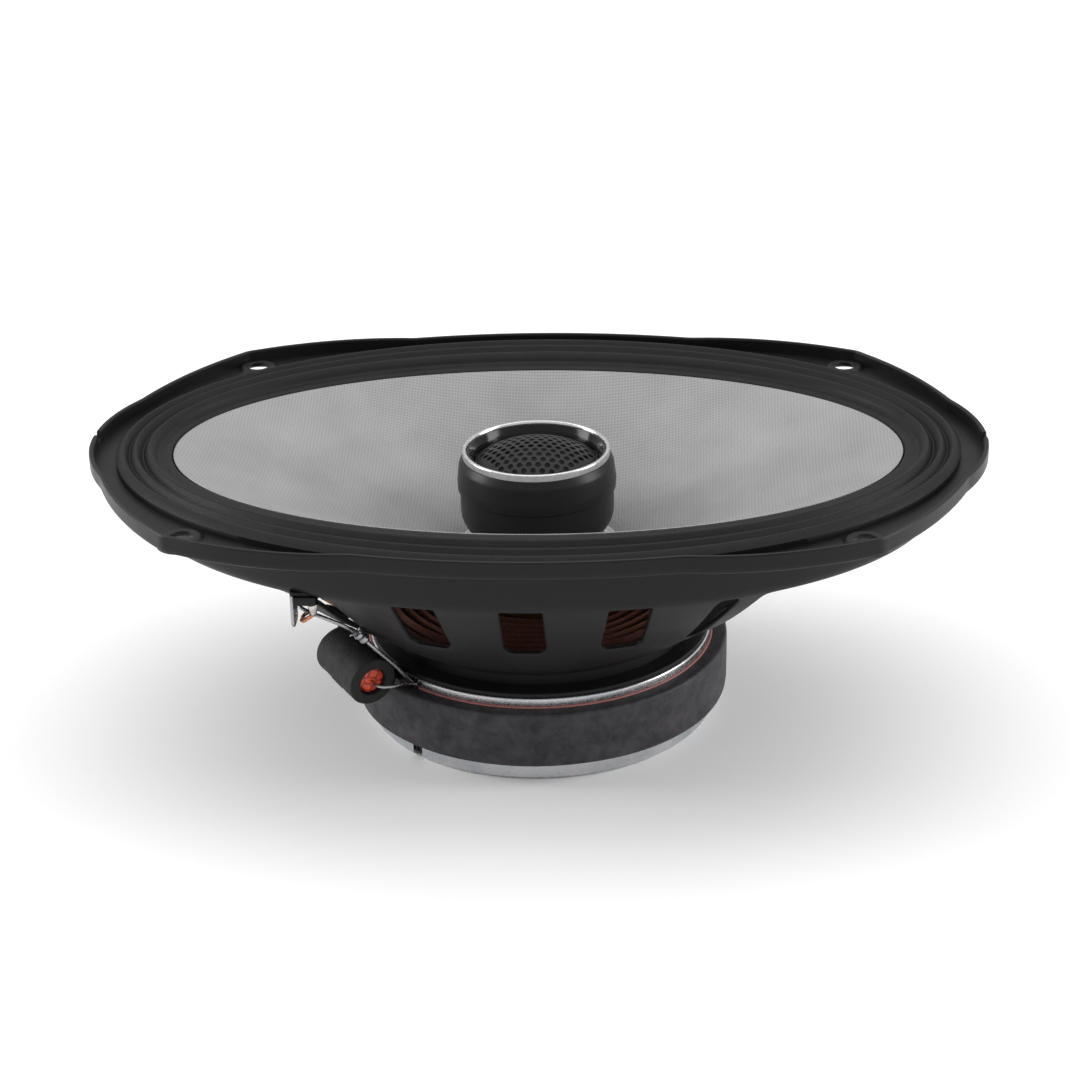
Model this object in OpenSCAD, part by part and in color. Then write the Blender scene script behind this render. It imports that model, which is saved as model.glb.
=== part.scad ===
// Oval two-way coaxial car speaker, standing on the flat back of its magnet.
// Z points out of the cone, X runs along the oval, Y across it.
// The origin is on the speaker's axis, in the plane of the back plate's underside.

/* [Frame] */
// Overall length of the flange
frame_len = 235; // [225:1:245]
// Overall width of the flange
frame_width = 159; // [152:1:164]
// Height of the lip's top above the back plate
frame_height = 76.7; // [75:0.1:80]
// Height of the upturned lip, outside
lip_height = 4.8; // [3:0.1:6]
// Sheet thickness of the stamped frame
sheet = 1.3; // [1:0.1:1.6]
// Half length of the flange corners
corner_x = 87; // [80:0.5:92]
// Half width of the flange corners
corner_y = 64.9; // [60:0.5:67]
// Hole spacing along the oval
hole_span_x = 166; // [158:0.5:167]
// Hole spacing across the oval
hole_span_y = 118; // [114:0.5:120]
// Radius of a mounting hole
hole_r = 2.8; // [2:0.1:3]

/* [Cone] */
// Half length of the cone at its edge
cone_a = 95.6; // [90:0.1:98]
// Half width of the cone at its edge
cone_b = 56.4; // [50:0.1:58]
// Height of the cone's edge
cone_edge_z = 73.9; // [72:0.1:75]
// Height of the cone's neck
cone_neck_z = 44.2; // [42:0.1:47]
// Thickness of the cone, measured upright
cone_wall = 0.9; // [0.6:0.1:1.4]

/* [Motor] */
// Radius of the back plate
back_plate_r = 46.65; // [44:0.05:48]
// Thickness of the back plate
back_plate_t = 5.4; // [4:0.1:6]
// Radius of the pole
pole_r = 18.2; // [16:0.1:18.6]
// Outer radius of the ring magnet
magnet_r = 45; // [40:0.5:45.2]
// Thickness of the ring magnet
magnet_t = 11.6; // [10:0.1:12]
// Radius of the top plate
top_plate_r = 45.8; // [44:0.1:46]
// Thickness of the top plate
top_plate_t = 6; // [5:0.1:7]
// Outer radius of the rubber boot at its top
boot_r = 50.35; // [49.5:0.05:51]
// Height of the boot's top rim
boot_top_z = 20.65; // [19.5:0.05:21]

/* [Voice coil] */
// Inner radius of the coil former
former_r = 19.2; // [19:0.05:19.3]
// Outer radius of the winding
winding_r = 20.3; // [20:0.05:20.4]

/* [Tweeter] */
// Radius of the silver trim ring
trim_r = 19.4; // [18.8:0.1:20]
// Height of the trim ring's top
trim_z = 72.8; // [71:0.1:74]
// Widest radius of the tweeter housing
housing_r = 21; // [20.5:0.1:21.5]
// Radius of the perforated grille
grille_r = 15.8; // [15:0.1:16]
// Radius of the silk dome
dome_r = 12.5; // [12.4:0.05:12.6]

/* [Crossover] */
// Angle of the capacitor about the speaker's axis
capacitor_az = 216; // [214:1:218]
// Distance of the capacitor from the speaker's axis
capacitor_off = 56.8; // [56.5:0.1:58]
// Height of the capacitor's own axis
capacitor_z = 26.1; // [25.8:0.1:27]
// Outer radius of the capacitor's foam sleeve
sleeve_r = 6.75; // [6:0.05:7]
// Length of the foam sleeve
sleeve_len = 18.8; // [16:0.2:19]

/* [Hidden] */
$fn = 96;
eps = 0.01;

// Outline of the flange: end arcs, straight slants to the corners, arched long sides
end_arc_r = 51.8;
end_arc_x = frame_len / 2 - end_arc_r;
side_arc_r = 190;
side_arc_y = frame_width / 2 - side_arc_r;
end_arc_sweep = 31;
side_arc_sweep = 12.1;

// Heights of the frame's stamped steps
flange_under_z = frame_height - lip_height;
flange_top_z = flange_under_z + sheet;
crease_z = 58.4;
shelf_z = 30.5;
neck_z = 22.97;

// Half lengths and half widths of the frame's oval walls
shoulder_top = [107.3, 69.9];
shoulder_low = [104.6, 67.6];
shelf_r = 46.3;
neck_r = 40.6;
basket_foot_r = 45.5;
basket_bore_r = 30;

// Motor stack
magnet_top_z = back_plate_t + magnet_t;
gap_r = 20.8;
boot_low_r = 50.1;
boot_inner_r = 47.2;
boot_lip_r = 46.4;
nut_bore_r = 9;
nut_bore_z = 5;
post_bore_r = 4.6;
wire_r = 0.6;

wire_groove_w = 3.4;
wire_groove_d = 2;
wire_gap = 0.8;
notch_az = 229;
groove_out = [cos(notch_az), sin(notch_az)];
groove_side = [-sin(notch_az), cos(notch_az)];

// Capacitor, lying across the radius with its far end a little higher
cap_mid = capacitor_off * [cos(capacitor_az), sin(capacitor_az)];
cap_tilt = 7;
cap_core_r = 3.75;

// Terminal board, under the front left of the shoulder
board_min = [-57, -58, 54.8];
board_size = [5.8, 21, 2.3];
board_mid_x = board_min.x + board_size.x / 2;
tab_t = 1.1;

function flat(p, z) = [p.x, p.y, z];
function groove_point(r, side, z) = flat(r * groove_out + side * groove_side, z);
function cone_r(t) = (1 - t) * [former_r + 0.8, former_r + 0.8] + t * [cone_a, cone_b];
function cone_z(t) = cone_neck_z + (cone_edge_z - cone_neck_z) * pow(t, 0.85);
function cone_at(t, a) = [cone_r(t).x * cos(a), cone_r(t).y * sin(a), cone_z(t)];

// Points of an arc about c, from angle a0 to a1
function arc(c, r, a0, a1, n = 12) =
    [for (a = [for (i = [0:n]) a0 + (a1 - a0) * i / n]) c + r * [cos(a), sin(a)]];

// Quarter of the flange outline, then the whole of it, moved in by inset
function outline_quarter(inset) = concat(
    arc([end_arc_x, 0], end_arc_r - inset, 0, end_arc_sweep),
    [[corner_x - 0.76 * inset, corner_y - 1.05 * inset]],
    arc([0, side_arc_y], side_arc_r - inset, 90 - side_arc_sweep, 90, 8)
);
function reversed(list) = [for (i = [len(list) - 1:-1:0]) list[i]];
function outline(inset = 0) = let (q = outline_quarter(inset)) concat(
    q,
    [for (p = reversed(q)) [-p.x, p.y]],
    [for (p = q) [-p.x, -p.y]],
    [for (p = reversed(q)) [p.x, -p.y]]
);

// Closed oval ring with the section profile = [[half length, half width, height], ...]
module oval_ring(profile, n = 96) {
    k = len(profile);
    points = [for (j = [0:n - 1]) for (p = profile) [p.x * cos(360 * j / n), p.y * sin(360 * j / n), p.z]];
    faces = [
        for (j = [0:n - 1]) for (i = [0:k - 1])
            let (a = j * k, b = ((j + 1) % n) * k, c = (i + 1) % k)
            for (f = [[a + i, a + c, b + c], [a + i, b + c, b + i]]) f
    ];
    polyhedron(points, faces, convexity = 8);
}

// Smooth route through hand placed points, with m steps between each two
function route(p, m = 4) = [
    for (i = [0:len(p) - 2]) for (s = [0:m - (i == len(p) - 2 ? 0 : 1)])
        let (
            u = s / m,
            p0 = p[max(i - 1, 0)], p1 = p[i], p2 = p[i + 1], p3 = p[min(i + 2, len(p) - 1)]
        )
        0.5 * (2 * p1 + u * (p2 - p0) + u * u * (2 * p0 - 5 * p1 + 4 * p2 - p3)
            + u * u * u * (3 * p1 - p0 - 3 * p2 + p3))
];
function unit(v) = v / norm(v);

// Round wire along path; side is a direction that the wire never runs along
module wire(path, r, side, sides = 8) {
    n = len(path);
    points = [
        for (i = [0:n - 1])
            let (
                t = unit(path[min(i + 1, n - 1)] - path[max(i - 1, 0)]),
                u = unit(cross(t, side)),
                v = cross(t, u)
            )
            for (k = [0:sides - 1]) path[i] + r * (cos(360 * k / sides) * u + sin(360 * k / sides) * v)
    ];
    faces = concat(
        [[for (k = [0:sides - 1]) k]],
        [[for (k = [sides - 1:-1:0]) (n - 1) * sides + k]],
        [
            for (i = [0:n - 2]) for (k = [0:sides - 1])
                let (a = i * sides, b = a + sides, c = (k + 1) % sides)
                for (f = [[a + k, b + k, b + c], [a + k, b + c, a + c]]) f
        ]
    );
    polyhedron(points, faces, convexity = 6);
}

module ring(outer, inner, z0, z1) {
    difference() {
        translate([0, 0, z0]) cylinder(r = outer, h = z1 - z0);
        translate([0, 0, z0 - 1]) cylinder(r = inner, h = z1 - z0 + 2);
    }
}

// Repeats its children mirrored to all four corners
module four_corners() {
    for (sx = [0, 1]) for (sy = [0, 1]) mirror([sx, 0, 0]) mirror([0, sy, 0]) children();
}

// ---- Frame ----

window_w = 10.6;
window_low_z = 39.4;
window_top_z = 57.2;
window_corner_r = 2.4;

// Cutter for one window in the long side, rounded at its lower corners
module window_cutter() {
    depth = 40;
    translate([0, -44, 0]) rotate([90, 0, 0]) linear_extrude(depth) {
        translate([-window_w / 2, window_low_z + window_corner_r])
            square([window_w, window_top_z - window_low_z - window_corner_r]);
        translate([-window_w / 2 + window_corner_r, window_low_z])
            square([window_w - 2 * window_corner_r, window_corner_r + eps]);
        for (s = [-1, 1]) translate([s * (window_w / 2 - window_corner_r), window_low_z + window_corner_r])
            circle(r = window_corner_r);
    }
}

// Openings beside one slim arm: the slot next to the long side's skirt and the big end opening
arm_slot = [[39, 39], [49.8, 62], [55.4, 59.4], [41, 34]];
end_opening = [[45, 31], [61, 56.5], [70, 53], [85, 42], [97, 20], [97, 15], [50, 15]];

module arm_openings() {
    difference() {
        four_corners() {
            translate([0, 0, 20]) linear_extrude(37) polygon(arm_slot);
            translate([0, 0, 20]) linear_extrude(37) polygon(end_opening);
        }
        translate([0, 0, 10]) cylinder(r = shelf_r + 1.2, h = 60);
    }
}

// Shoulder wall and tapered body in one wall, with its openings and windows
module basket_body() {
    wall = [sheet, sheet];
    profile = [
        flat([shelf_r, shelf_r], shelf_z - 0.3),
        flat(shoulder_low, crease_z),
        flat(shoulder_top, flange_top_z - 0.4),
        flat(shoulder_top - wall, flange_top_z - 0.4),
        flat(shoulder_low - wall, crease_z + 0.6),
        flat([shelf_r, shelf_r] - wall * 1.1, shelf_z + 0.5)
    ];
    difference() {
        oval_ring(profile);
        arm_openings();
        for (side = [0, 180]) for (tilt = [-12, 0, 12])
            rotate([0, 0, side]) translate([tilt * 1.08, 0, 0]) rotate([0, 0, tilt]) window_cutter();
    }
}

module basket_flange() {
    hole = shoulder_top - [sheet, sheet] / 2;
    lip_wall = 1.4;
    notch_w = 2.6;
    notch_y = 1.6;
    difference() {
        translate([0, 0, flange_under_z]) linear_extrude(lip_height) polygon(outline());
        translate([0, 0, flange_top_z]) linear_extrude(lip_height) polygon(outline(lip_wall));
        translate([0, 0, flange_under_z - 1]) scale([1, hole.y / hole.x, 1]) cylinder(r = hole.x, h = 9);
        four_corners() translate([hole_span_x / 2, hole_span_y / 2, flange_under_z - 1])
            cylinder(r = pad_low_r - sheet, h = 9);
        for (s = [-1, 1]) translate([s * (frame_len / 2 - 1), notch_y, flange_top_z + 3.4])
            cube([6, notch_w, 4.4], center = true);
    }
}

pad_low_r = 6.4;
pad_top_r = 4.6;
pad_top_z = 74.2;

// Embossed pad with a mounting hole, raised off the flange floor
module mounting_pad() {
    rotate_extrude() polygon([
        [hole_r, pad_top_z - sheet], [pad_top_r - 0.8, pad_top_z - sheet],
        [pad_low_r - sheet - 0.1, flange_under_z], [pad_low_r - 0.2, flange_under_z],
        [pad_low_r, flange_top_z], [pad_top_r, pad_top_z], [hole_r, pad_top_z]
    ]);
}

module basket_foot() {
    shelf_end_r = shelf_r - 0.7;
    rotate_extrude() polygon([
        [basket_bore_r, neck_z], [basket_foot_r, neck_z], [basket_foot_r, neck_z + sheet],
        [neck_r, neck_z + sheet], [neck_r, shelf_z - 2.6], [neck_r + 1, shelf_z - 0.8],
        [shelf_end_r, shelf_z - 0.5], [shelf_end_r, shelf_z + 0.6], [neck_r + 0.5, shelf_z + 0.6],
        [neck_r - 1, shelf_z - 0.6], [neck_r - sheet, shelf_z - 2.4], [neck_r - sheet, neck_z + sheet],
        [basket_bore_r, neck_z + sheet]
    ]);
}

rivet_count = 6;
rivet_r = 2.5;
rivet_ring_r = 34.5;

module rivet_places() {
    for (i = [0:rivet_count - 1])
        rotate([0, 0, 30 + 360 * i / rivet_count]) translate([rivet_ring_r, 0, 0]) children();
}

// Room in the slim arm for the terminal board, its blades and its rivet heads
module board_relief() {
    low = [1.1, 0.3, 1.7];
    high = [0.3, 0.3, 0.05];
    translate(board_min - low) cube(board_size + low + high);
}

module basket() {
    color("#1b1b1d") difference() {
        union() {
            basket_body();
            basket_flange();
            four_corners() translate([hole_span_x / 2, hole_span_y / 2, 0]) mounting_pad();
            basket_foot();
            translate([board_min.x - 1, board_min.y + 0.6, board_min.z + board_size.z])
                cube([board_size.x + 6, board_size.y - 0.6, tab_t]);
        }
        rivet_places() translate([0, 0, neck_z - 1]) cylinder(r = rivet_r, h = 3);
        board_rivet_places() translate([0, 0, board_min.z - 1]) cylinder(r = board_rivet_r, h = 8);
        board_relief();
    }
}

module basket_rivets() {
    head_r = 3.6;
    head_t = 0.9;
    shank_depth = 3;
    color("#8f9296") rivet_places() {
        translate([0, 0, neck_z - shank_depth]) cylinder(r = rivet_r, h = shank_depth + sheet + eps);
        translate([0, 0, neck_z + sheet]) cylinder(r = head_r, h = head_t);
    }
}

// ---- Suspension ----

// Section of the rubber roll: [distance out from the cone's edge, height], top side then underside
roll_top = [
    [-1.6, -2.35], [0, -1.25], [0.3, -0.5], [0.9, 0.1], [3.9, 0.2], [5.3, 1.6], [6.6, 2.1], [8.5, 1],
    [10.6, 2.2], [11.8, 1.4], [13, 2.3], [14.2, 1.7], [14.8, 0.9]
];
roll_under = [
    [14.8, -0.7], [11.9, -0.7], [10.6, 1.1], [8.5, 0], [6.6, 1.1], [5.3, 0.6], [4.1, -0.8], [0.5, -1.5],
    [-1.6, -2.9]
];
// The roll is wider along the speaker's long sides
roll_side_stretch = 1.4;

module surround() {
    section = concat(roll_top, roll_under);
    color("#232325") oval_ring([
        for (p = reversed(section))
            [cone_a + p.x, cone_b + p.x * (p.x > 0.5 ? roll_side_stretch : 1), cone_edge_z + p.y]
    ]);
}

spider_z = 32.9;
spider_r = 44.6;
spider_waves = 7;

module spider() {
    inner = former_r + 0.5;
    rim = 3;
    wave_h = 1.1;
    cloth = 0.5;
    steps = 70;
    span = spider_r - rim - inner - 2;
    top = [
        for (u = [0:1 / steps:1 + eps / steps])
            [inner + 2 + span * u, spider_z + wave_h * sin(360 * spider_waves * u)]
    ];
    color("#7a4528") rotate_extrude() polygon(concat(
        [[inner, spider_z]], top, [[spider_r, shelf_z + 0.6 + cloth], [spider_r, shelf_z + 0.6]],
        [for (p = reversed(top)) p - [0, cloth]], [[inner, spider_z - cloth]]
    ));
}

// ---- Motor ----

module t_yoke() {
    color("#c3c8d0") difference() {
        rotate_extrude() polygon([
            [0, 0], [back_plate_r - 0.8, 0], [back_plate_r, 0.8], [back_plate_r, back_plate_t - 0.6],
            [back_plate_r - 0.6, back_plate_t], [pole_r, back_plate_t], [pole_r, neck_z - 0.6],
            [pole_r - 0.6, neck_z], [0, neck_z]
        ]);
        translate([0, 0, -1]) cylinder(r = post_bore_r, h = 30);
        translate([0, 0, -1]) cylinder(r = nut_bore_r, h = nut_bore_z + 1);
        rotate([0, 0, notch_az]) {
            translate([0, -wire_groove_w / 2, -1]) cube([60, wire_groove_w, wire_groove_d + 1]);
            translate([back_plate_r - 3.2, -wire_groove_w / 2, -1]) cube([5, wire_groove_w, 10]);
        }
    }
}

module magnet() {
    color("#3a3a3d") ring(magnet_r, 24, back_plate_t, magnet_top_z);
}

module top_plate() {
    edge = 0.5;
    color("#c3c8d0") difference() {
        rotate_extrude() polygon([
            [gap_r, magnet_top_z], [top_plate_r, magnet_top_z], [top_plate_r, neck_z - edge],
            [top_plate_r - edge, neck_z], [gap_r, neck_z]
        ]);
        rivet_places() translate([0, 0, neck_z - 3]) cylinder(r = rivet_r, h = 4);
    }
}

module magnet_boot() {
    bend = 1;
    lip_t = 1.6;
    color("#2a2a2c") difference() {
        rotate_extrude() polygon([
            [boot_inner_r, back_plate_t], [boot_low_r - bend, back_plate_t],
            [boot_low_r, back_plate_t + bend],
            [boot_r, boot_top_z - bend], [boot_r - bend, boot_top_z], [boot_lip_r, boot_top_z],
            [boot_lip_r, boot_top_z - lip_t], [boot_inner_r, boot_top_z - lip_t - 0.4]
        ]);
        rotate([0, 0, notch_az]) translate([boot_lip_r - 1, -wire_groove_w / 2, boot_top_z - 4])
            cube([2.4, wire_groove_w, 6]);
    }
}

module boot_adhesive() {
    color("#a0605c") difference() {
        ring(boot_lip_r, top_plate_r, boot_top_z - 1.2, boot_top_z + 0.2);
        rotate([0, 0, notch_az]) translate([boot_lip_r - 2, -wire_groove_w / 2, boot_top_z - 4])
            cube([6, wire_groove_w, 6]);
    }
}

// ---- Tweeter post ----

post_stem_r = 7.5;
post_top_z = 48.2;
post_wire_r = 2.2;

module post() {
    foot_r = 13;
    foot_t = 3;
    stud_low_z = 2.4;
    color("#202022") rotate_extrude() polygon([
        [post_wire_r, stud_low_z], [post_bore_r, stud_low_z], [post_bore_r, neck_z], [foot_r, neck_z],
        [foot_r, neck_z + foot_t - 1], [foot_r - 1, neck_z + foot_t], [post_stem_r, neck_z + foot_t],
        [post_stem_r, post_top_z], [post_wire_r, post_top_z]
    ]);
}

module post_nut() {
    color("#b9bcc2") difference() {
        translate([0, 0, 2.6]) cylinder(r = 8.2, h = nut_bore_z - 2.6, $fn = 6);
        translate([0, 0, 0]) cylinder(r = post_bore_r, h = 10);
    }
}

// ---- Moving cone ----

module cone() {
    steps = [0, 0.06, 0.14, 0.26, 0.42, 0.6, 0.8, 1];
    top = [for (t = steps) flat(cone_r(t), cone_z(t))];
    profile = concat([for (p = top) p - [0, 0, cone_wall]], reversed(top));
    color("#b9bbbd") oval_ring(profile);
}

module cone_collar() {
    r0 = former_r + 0.15;
    z0 = cone_neck_z - 1.6;
    color("#98999b") rotate_extrude() polygon([
        [r0, z0 - 1.4], [r0 + 0.7, z0 - 1], [r0 + 2.4, cone_z(0) - cone_wall - 0.1],
        [r0 + 0.4, cone_z(0) - cone_wall], [r0 + 0.4, cone_z(0)], [r0, cone_z(0) + 0.2]
    ]);
}

former_low_z = 12.5;
winding_low_z = 13;
winding_h = 14;

module coil_former() {
    color("#c9a46a") ring(former_r + 0.15, former_r, former_low_z, cone_neck_z + 0.6);
}

module coil_winding() {
    color("#b4693a") ring(winding_r, former_r + 0.15, winding_low_z, winding_low_z + winding_h);
}

eyelet_t = 0.16;
eyelet_angles = [205, 222];

module lead_eyelets() {
    color("#c8ccd2") for (a = eyelet_angles) translate(cone_at(eyelet_t, a) - [0, 0, cone_wall + 1.85])
        cylinder(r = 1.3, h = 1);
}

// ---- Terminals and crossover ----

board_rivet_r = 1.2;

module board_rivet_places() {
    for (y = [6, 17]) translate([board_mid_x + 1, board_min.y + y, 0]) children();
}

module terminal_board() {
    color("#161617") difference() {
        translate(board_min) cube(board_size);
        board_rivet_places() translate([0, 0, board_min.z - 1]) cylinder(r = board_rivet_r, h = 8);
    }
}

// Blade terminal hanging from the board, width w along Y
module blade(w, y) {
    blade_t = 0.8;
    drop = 6.8;
    point = 1.2;
    low = board_min.z - drop;
    top = board_min.z + board_size.z;
    translate([board_min.x - blade_t, board_min.y + y, 0]) rotate([90, 0, 90])
        linear_extrude(blade_t) difference() {
            polygon([[0, top], [0, low + point], [point, low], [w - point, low], [w, low + point], [w, top]]);
            translate([w / 2, low + drop / 2 - 0.6]) circle(r = 0.8);
        }
}

module positive_terminal() {
    color("#c9cdd3") blade(6.3, 1);
}

module negative_terminal() {
    color("#c9cdd3") blade(4.8, 13);
}

module terminal_rivets() {
    head_r = 2;
    color("#9da1a6") board_rivet_places() {
        translate([0, 0, board_min.z]) cylinder(r = board_rivet_r, h = board_size.z + tab_t);
        translate([0, 0, board_min.z - 0.6]) cylinder(r = head_r, h = 0.6);
        translate([0, 0, board_min.z + board_size.z + tab_t]) cylinder(r = head_r, h = 0.6);
    }
}

solder_places = [[-52.2, -56.6], [-55.4, -45.6]];

module solder_joints() {
    color("#b06a45") for (p = solder_places) translate([p.x, p.y, board_min.z]) mirror([0, 0, 1]) {
        cylinder(r = 1.3, h = 1.2);
        translate([0, 0, 1.2 - eps]) cylinder(r1 = 1.3, r2 = 0.7, h = 1.8);
    }
}

module at_capacitor() {
    translate(flat(cap_mid, capacitor_z)) rotate([0, 0, capacitor_az])
        rotate([-90 - cap_tilt, 0, 0]) children();
}

module capacitor() {
    color("#d6492a") at_capacitor() translate([0, 0, -sleeve_len / 2 + 0.8])
        cylinder(r = cap_core_r, h = sleeve_len - 1.4);
}

module capacitor_sleeve() {
    edge = 0.5;
    half = sleeve_len / 2;
    color("#1f1f21") at_capacitor() rotate_extrude() polygon([
        [cap_core_r, -half], [sleeve_r - edge, -half], [sleeve_r, edge - half], [sleeve_r, half - edge],
        [sleeve_r - edge, half], [cap_core_r, half]
    ]);
}

// Bead of black glue that holds the sleeve to the top plate and the boot
module capacitor_glue() {
    color("#141415") difference() {
        rotate([0, 0, capacitor_az]) translate([49.2, 4, boot_top_z + 1.8])
            scale([1, 2, 1]) sphere(r = 2.8, $fn = 48);
        at_capacitor() cylinder(r = sleeve_r, h = 60, center = true);
        cylinder(r = boot_r, h = boot_top_z);
        cylinder(r = top_plate_r, h = neck_z);
        cylinder(r = basket_foot_r, h = neck_z + sheet);
    }
}

input_lead_points = [
    [-51.1, -26.3, 27.2], [-52.4, -23.8, 28.4], [-50.5, -24.2, 33.2], [-48.5, -28.5, 38],
    [-52, -36, 44], [-55.6, -46, 47.2], [-55.4, -54, 48.8], [-52.2, -56.6, 51.9]
];
output_lead_points = [
    [-40.7, -40.7, 25], [-38.6, -42.9, 24.8], [-35.4, -42.4, 24.6], [-32.6, -39, 23.6],
    groove_point(46.9, wire_gap, 21.8)
];

module capacitor_input_lead() {
    color("#2b2522") wire(route(input_lead_points), 0.7, [0.6, -0.5, 0.62]);
}

module capacitor_output_lead() {
    color("#cfd3d8") wire(route(output_lead_points), 0.45, [0, 0, 1]);
}

// The two tweeter wires: inside the post, along the back plate's groove and up under the boot
function wire_inside(side) = [
    groove_point(0.2, side, 50), groove_point(0.2, side, 30), groove_point(0.2, side, 8),
    groove_point(0.9, side, 3), groove_point(4, side, 1.1), groove_point(24, side, 1.1),
    groove_point(43.6, side, 1.1), groove_point(45.8, side, 2.6), groove_point(46.1, side, 6),
    groove_point(46.1, side, 14), groove_point(46.7, side, 17.4), groove_point(46.9, side, 21.6)
];

module tweeter_wires() {
    color("#191919") for (side = [wire_gap, -wire_gap])
        wire(route(wire_inside(side)), wire_r, flat(groove_side, 0));
}

module lead_crimp() {
    strip = [
        groove_point(46.9, -wire_gap, 21.8), [-34.2, -38.6, 28], [-39.2, -43.6, 36], [-42.3, -44.7, 40],
        [-45.5, -50.2, 45.5], [-50, -52, 48.6], [-54.8, -50.4, 49.8], [-57.5, -48, 50.8],
        [-55.4, -45.6, 51.9]
    ];
    color("#a9abae") {
        wire(route(strip), 0.55, [1, -0.2, 0.1]);
        translate([-42.3, -44.7, 40]) rotate([34, -34, 0]) cylinder(r = 1.5, h = 4, center = true);
    }
}

tinsel_ends = [
    [[-52.6, -48.8, 54], [-45, -43.4, 47.4], [-36, -28, 44]],
    [[-52.6, -38.6, 54], [-45, -33, 47], [-36, -20, 44]]
];

module tinsel_leads() {
    color("#b5794f") for (i = [0, 1])
        wire(
            route(concat(tinsel_ends[i],
                [cone_at(eyelet_t, eyelet_angles[1 - i]) - [0, 0, cone_wall + 2.55]])),
            0.7, [0.5, -0.7, 0.5]
        );
}

// ---- Tweeter ----

housing_step_z = 62.6;
housing_low_r = 20.3;
housing_bend_z = 57;
housing_floor_z = 57.2;
cavity_r = 16.4;
bezel_seat_z = 66;
bezel_r = 18.3;

module tweeter_housing() {
    bend_r = 8.3;
    color("#1c1c1e") rotate_extrude() polygon(concat(
        [[post_wire_r, post_top_z + 0.2]],
        arc([housing_low_r - bend_r, housing_bend_z], bend_r, -90, 0),
        [
            [housing_low_r, housing_step_z], [housing_r - 0.1, housing_step_z + 0.5], [housing_r, 65],
            [20.4, 69], [trim_r, 70.5], [bezel_r, 70.5], [bezel_r, bezel_seat_z], [cavity_r, bezel_seat_z],
            [cavity_r, housing_floor_z], [post_wire_r, housing_floor_z]
        ]
    ));
}

module trim_ring() {
    color("#dfe2e6") rotate_extrude() polygon([
        [bezel_r, 70.5], [trim_r, 70.5], [trim_r, trim_z - 0.5], [trim_r - 0.5, trim_z],
        [bezel_r + 0.4, trim_z], [bezel_r, trim_z - 0.4]
    ]);
}

module tweeter_bezel() {
    color("#101011") rotate_extrude() polygon([
        [14.6, bezel_seat_z], [bezel_r, bezel_seat_z], [bezel_r, 72.2], [grille_r + 0.8, 71],
        [grille_r + 0.3, 69.3], [14.6, 69.3]
    ]);
}

grille_rim_z = 69.9;
grille_rise = 4.6;
grille_ball_r = (grille_r * grille_r + grille_rise * grille_rise) / (2 * grille_rise);

module cap_shell(ball_r, z, wall, rim_r) {
    intersection() {
        difference() {
            translate([0, 0, z]) sphere(r = ball_r);
            translate([0, 0, z]) sphere(r = ball_r - wall);
        }
        translate([0, 0, z]) cylinder(r = rim_r, h = ball_r + 1);
    }
}

module tweeter_grille() {
    wall = 0.5;
    hole = 0.75;
    pitch = 2.4;
    color("#2d2d30") difference() {
        intersection() {
            cap_shell(grille_ball_r, grille_rim_z + grille_rise - grille_ball_r, wall, grille_r);
            translate([0, 0, grille_rim_z - 0.4]) cylinder(r = grille_r, h = 10);
        }
        for (i = [-5:5]) for (j = [-6:6])
            let (p = [pitch * (i + (abs(j) % 2) / 2), pitch * j * 0.866])
            if (norm(p) < grille_r - 2) translate([p.x, p.y, 60]) cylinder(r = hole, h = 20, $fn = 16);
    }
}

dome_z = 67.5;
dome_rise = 3.8;
dome_ball_r = (dome_r * dome_r + dome_rise * dome_rise) / (2 * dome_rise);

module tweeter_dome() {
    color("#27272a") intersection() {
        cap_shell(dome_ball_r, dome_z + dome_rise - dome_ball_r, 0.25, dome_r);
        translate([0, 0, dome_z]) cylinder(r = dome_r, h = 6);
    }
}

module tweeter_coil() {
    color("#b4693a") ring(12.75, 12.3, 63.4, dome_z - 0.2);
}

module tweeter_suspension() {
    color("#2a2a2d") rotate_extrude() polygon([
        [12.95, dome_z], [13.4, dome_z + 0.6], [14, dome_z + 0.6], [14.6, dome_z],
        [14.6, dome_z - 0.25], [13.9, dome_z + 0.3], [13.5, dome_z + 0.3], [12.95, dome_z - 0.3]
    ]);
}

cup_wall_r = 13.3;
cup_floor_z = 60;
pole_plate_z = 64;

module tweeter_cup() {
    color("#9a9da2") difference() {
        translate([0, 0, housing_floor_z]) cylinder(r = 15.9, h = bezel_seat_z - housing_floor_z);
        translate([0, 0, cup_floor_z]) cylinder(r = cup_wall_r, h = 10);
        cylinder(r = post_wire_r, h = 90);
    }
}

module tweeter_magnet() {
    color("#8a8d92") translate([0, 0, cup_floor_z]) cylinder(r = 11.2, h = pole_plate_z - cup_floor_z);
}

module tweeter_pole_plate() {
    color("#9a9da2") translate([0, 0, pole_plate_z]) cylinder(r = 11.95, h = 2);
}

module tweeter_tags() {
    color("#c8a24a") for (s = [-1, 1])
        rotate([0, 0, notch_az + 90]) translate([s * wire_gap - 0.4, -0.4, 50.1]) cube([0.8, 0.8, 6.9]);
}

basket();
basket_rivets();
surround();
spider();
t_yoke();
magnet();
top_plate();
magnet_boot();
boot_adhesive();
post();
post_nut();
cone();
cone_collar();
coil_former();
coil_winding();
lead_eyelets();
tinsel_leads();
terminal_board();
positive_terminal();
negative_terminal();
terminal_rivets();
solder_joints();
capacitor();
capacitor_sleeve();
capacitor_glue();
capacitor_input_lead();
capacitor_output_lead();
tweeter_wires();
lead_crimp();
tweeter_housing();
trim_ring();
tweeter_bezel();
tweeter_grille();
tweeter_dome();
tweeter_coil();
tweeter_suspension();
tweeter_cup();
tweeter_magnet();
tweeter_pole_plate();
tweeter_tags();
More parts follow.
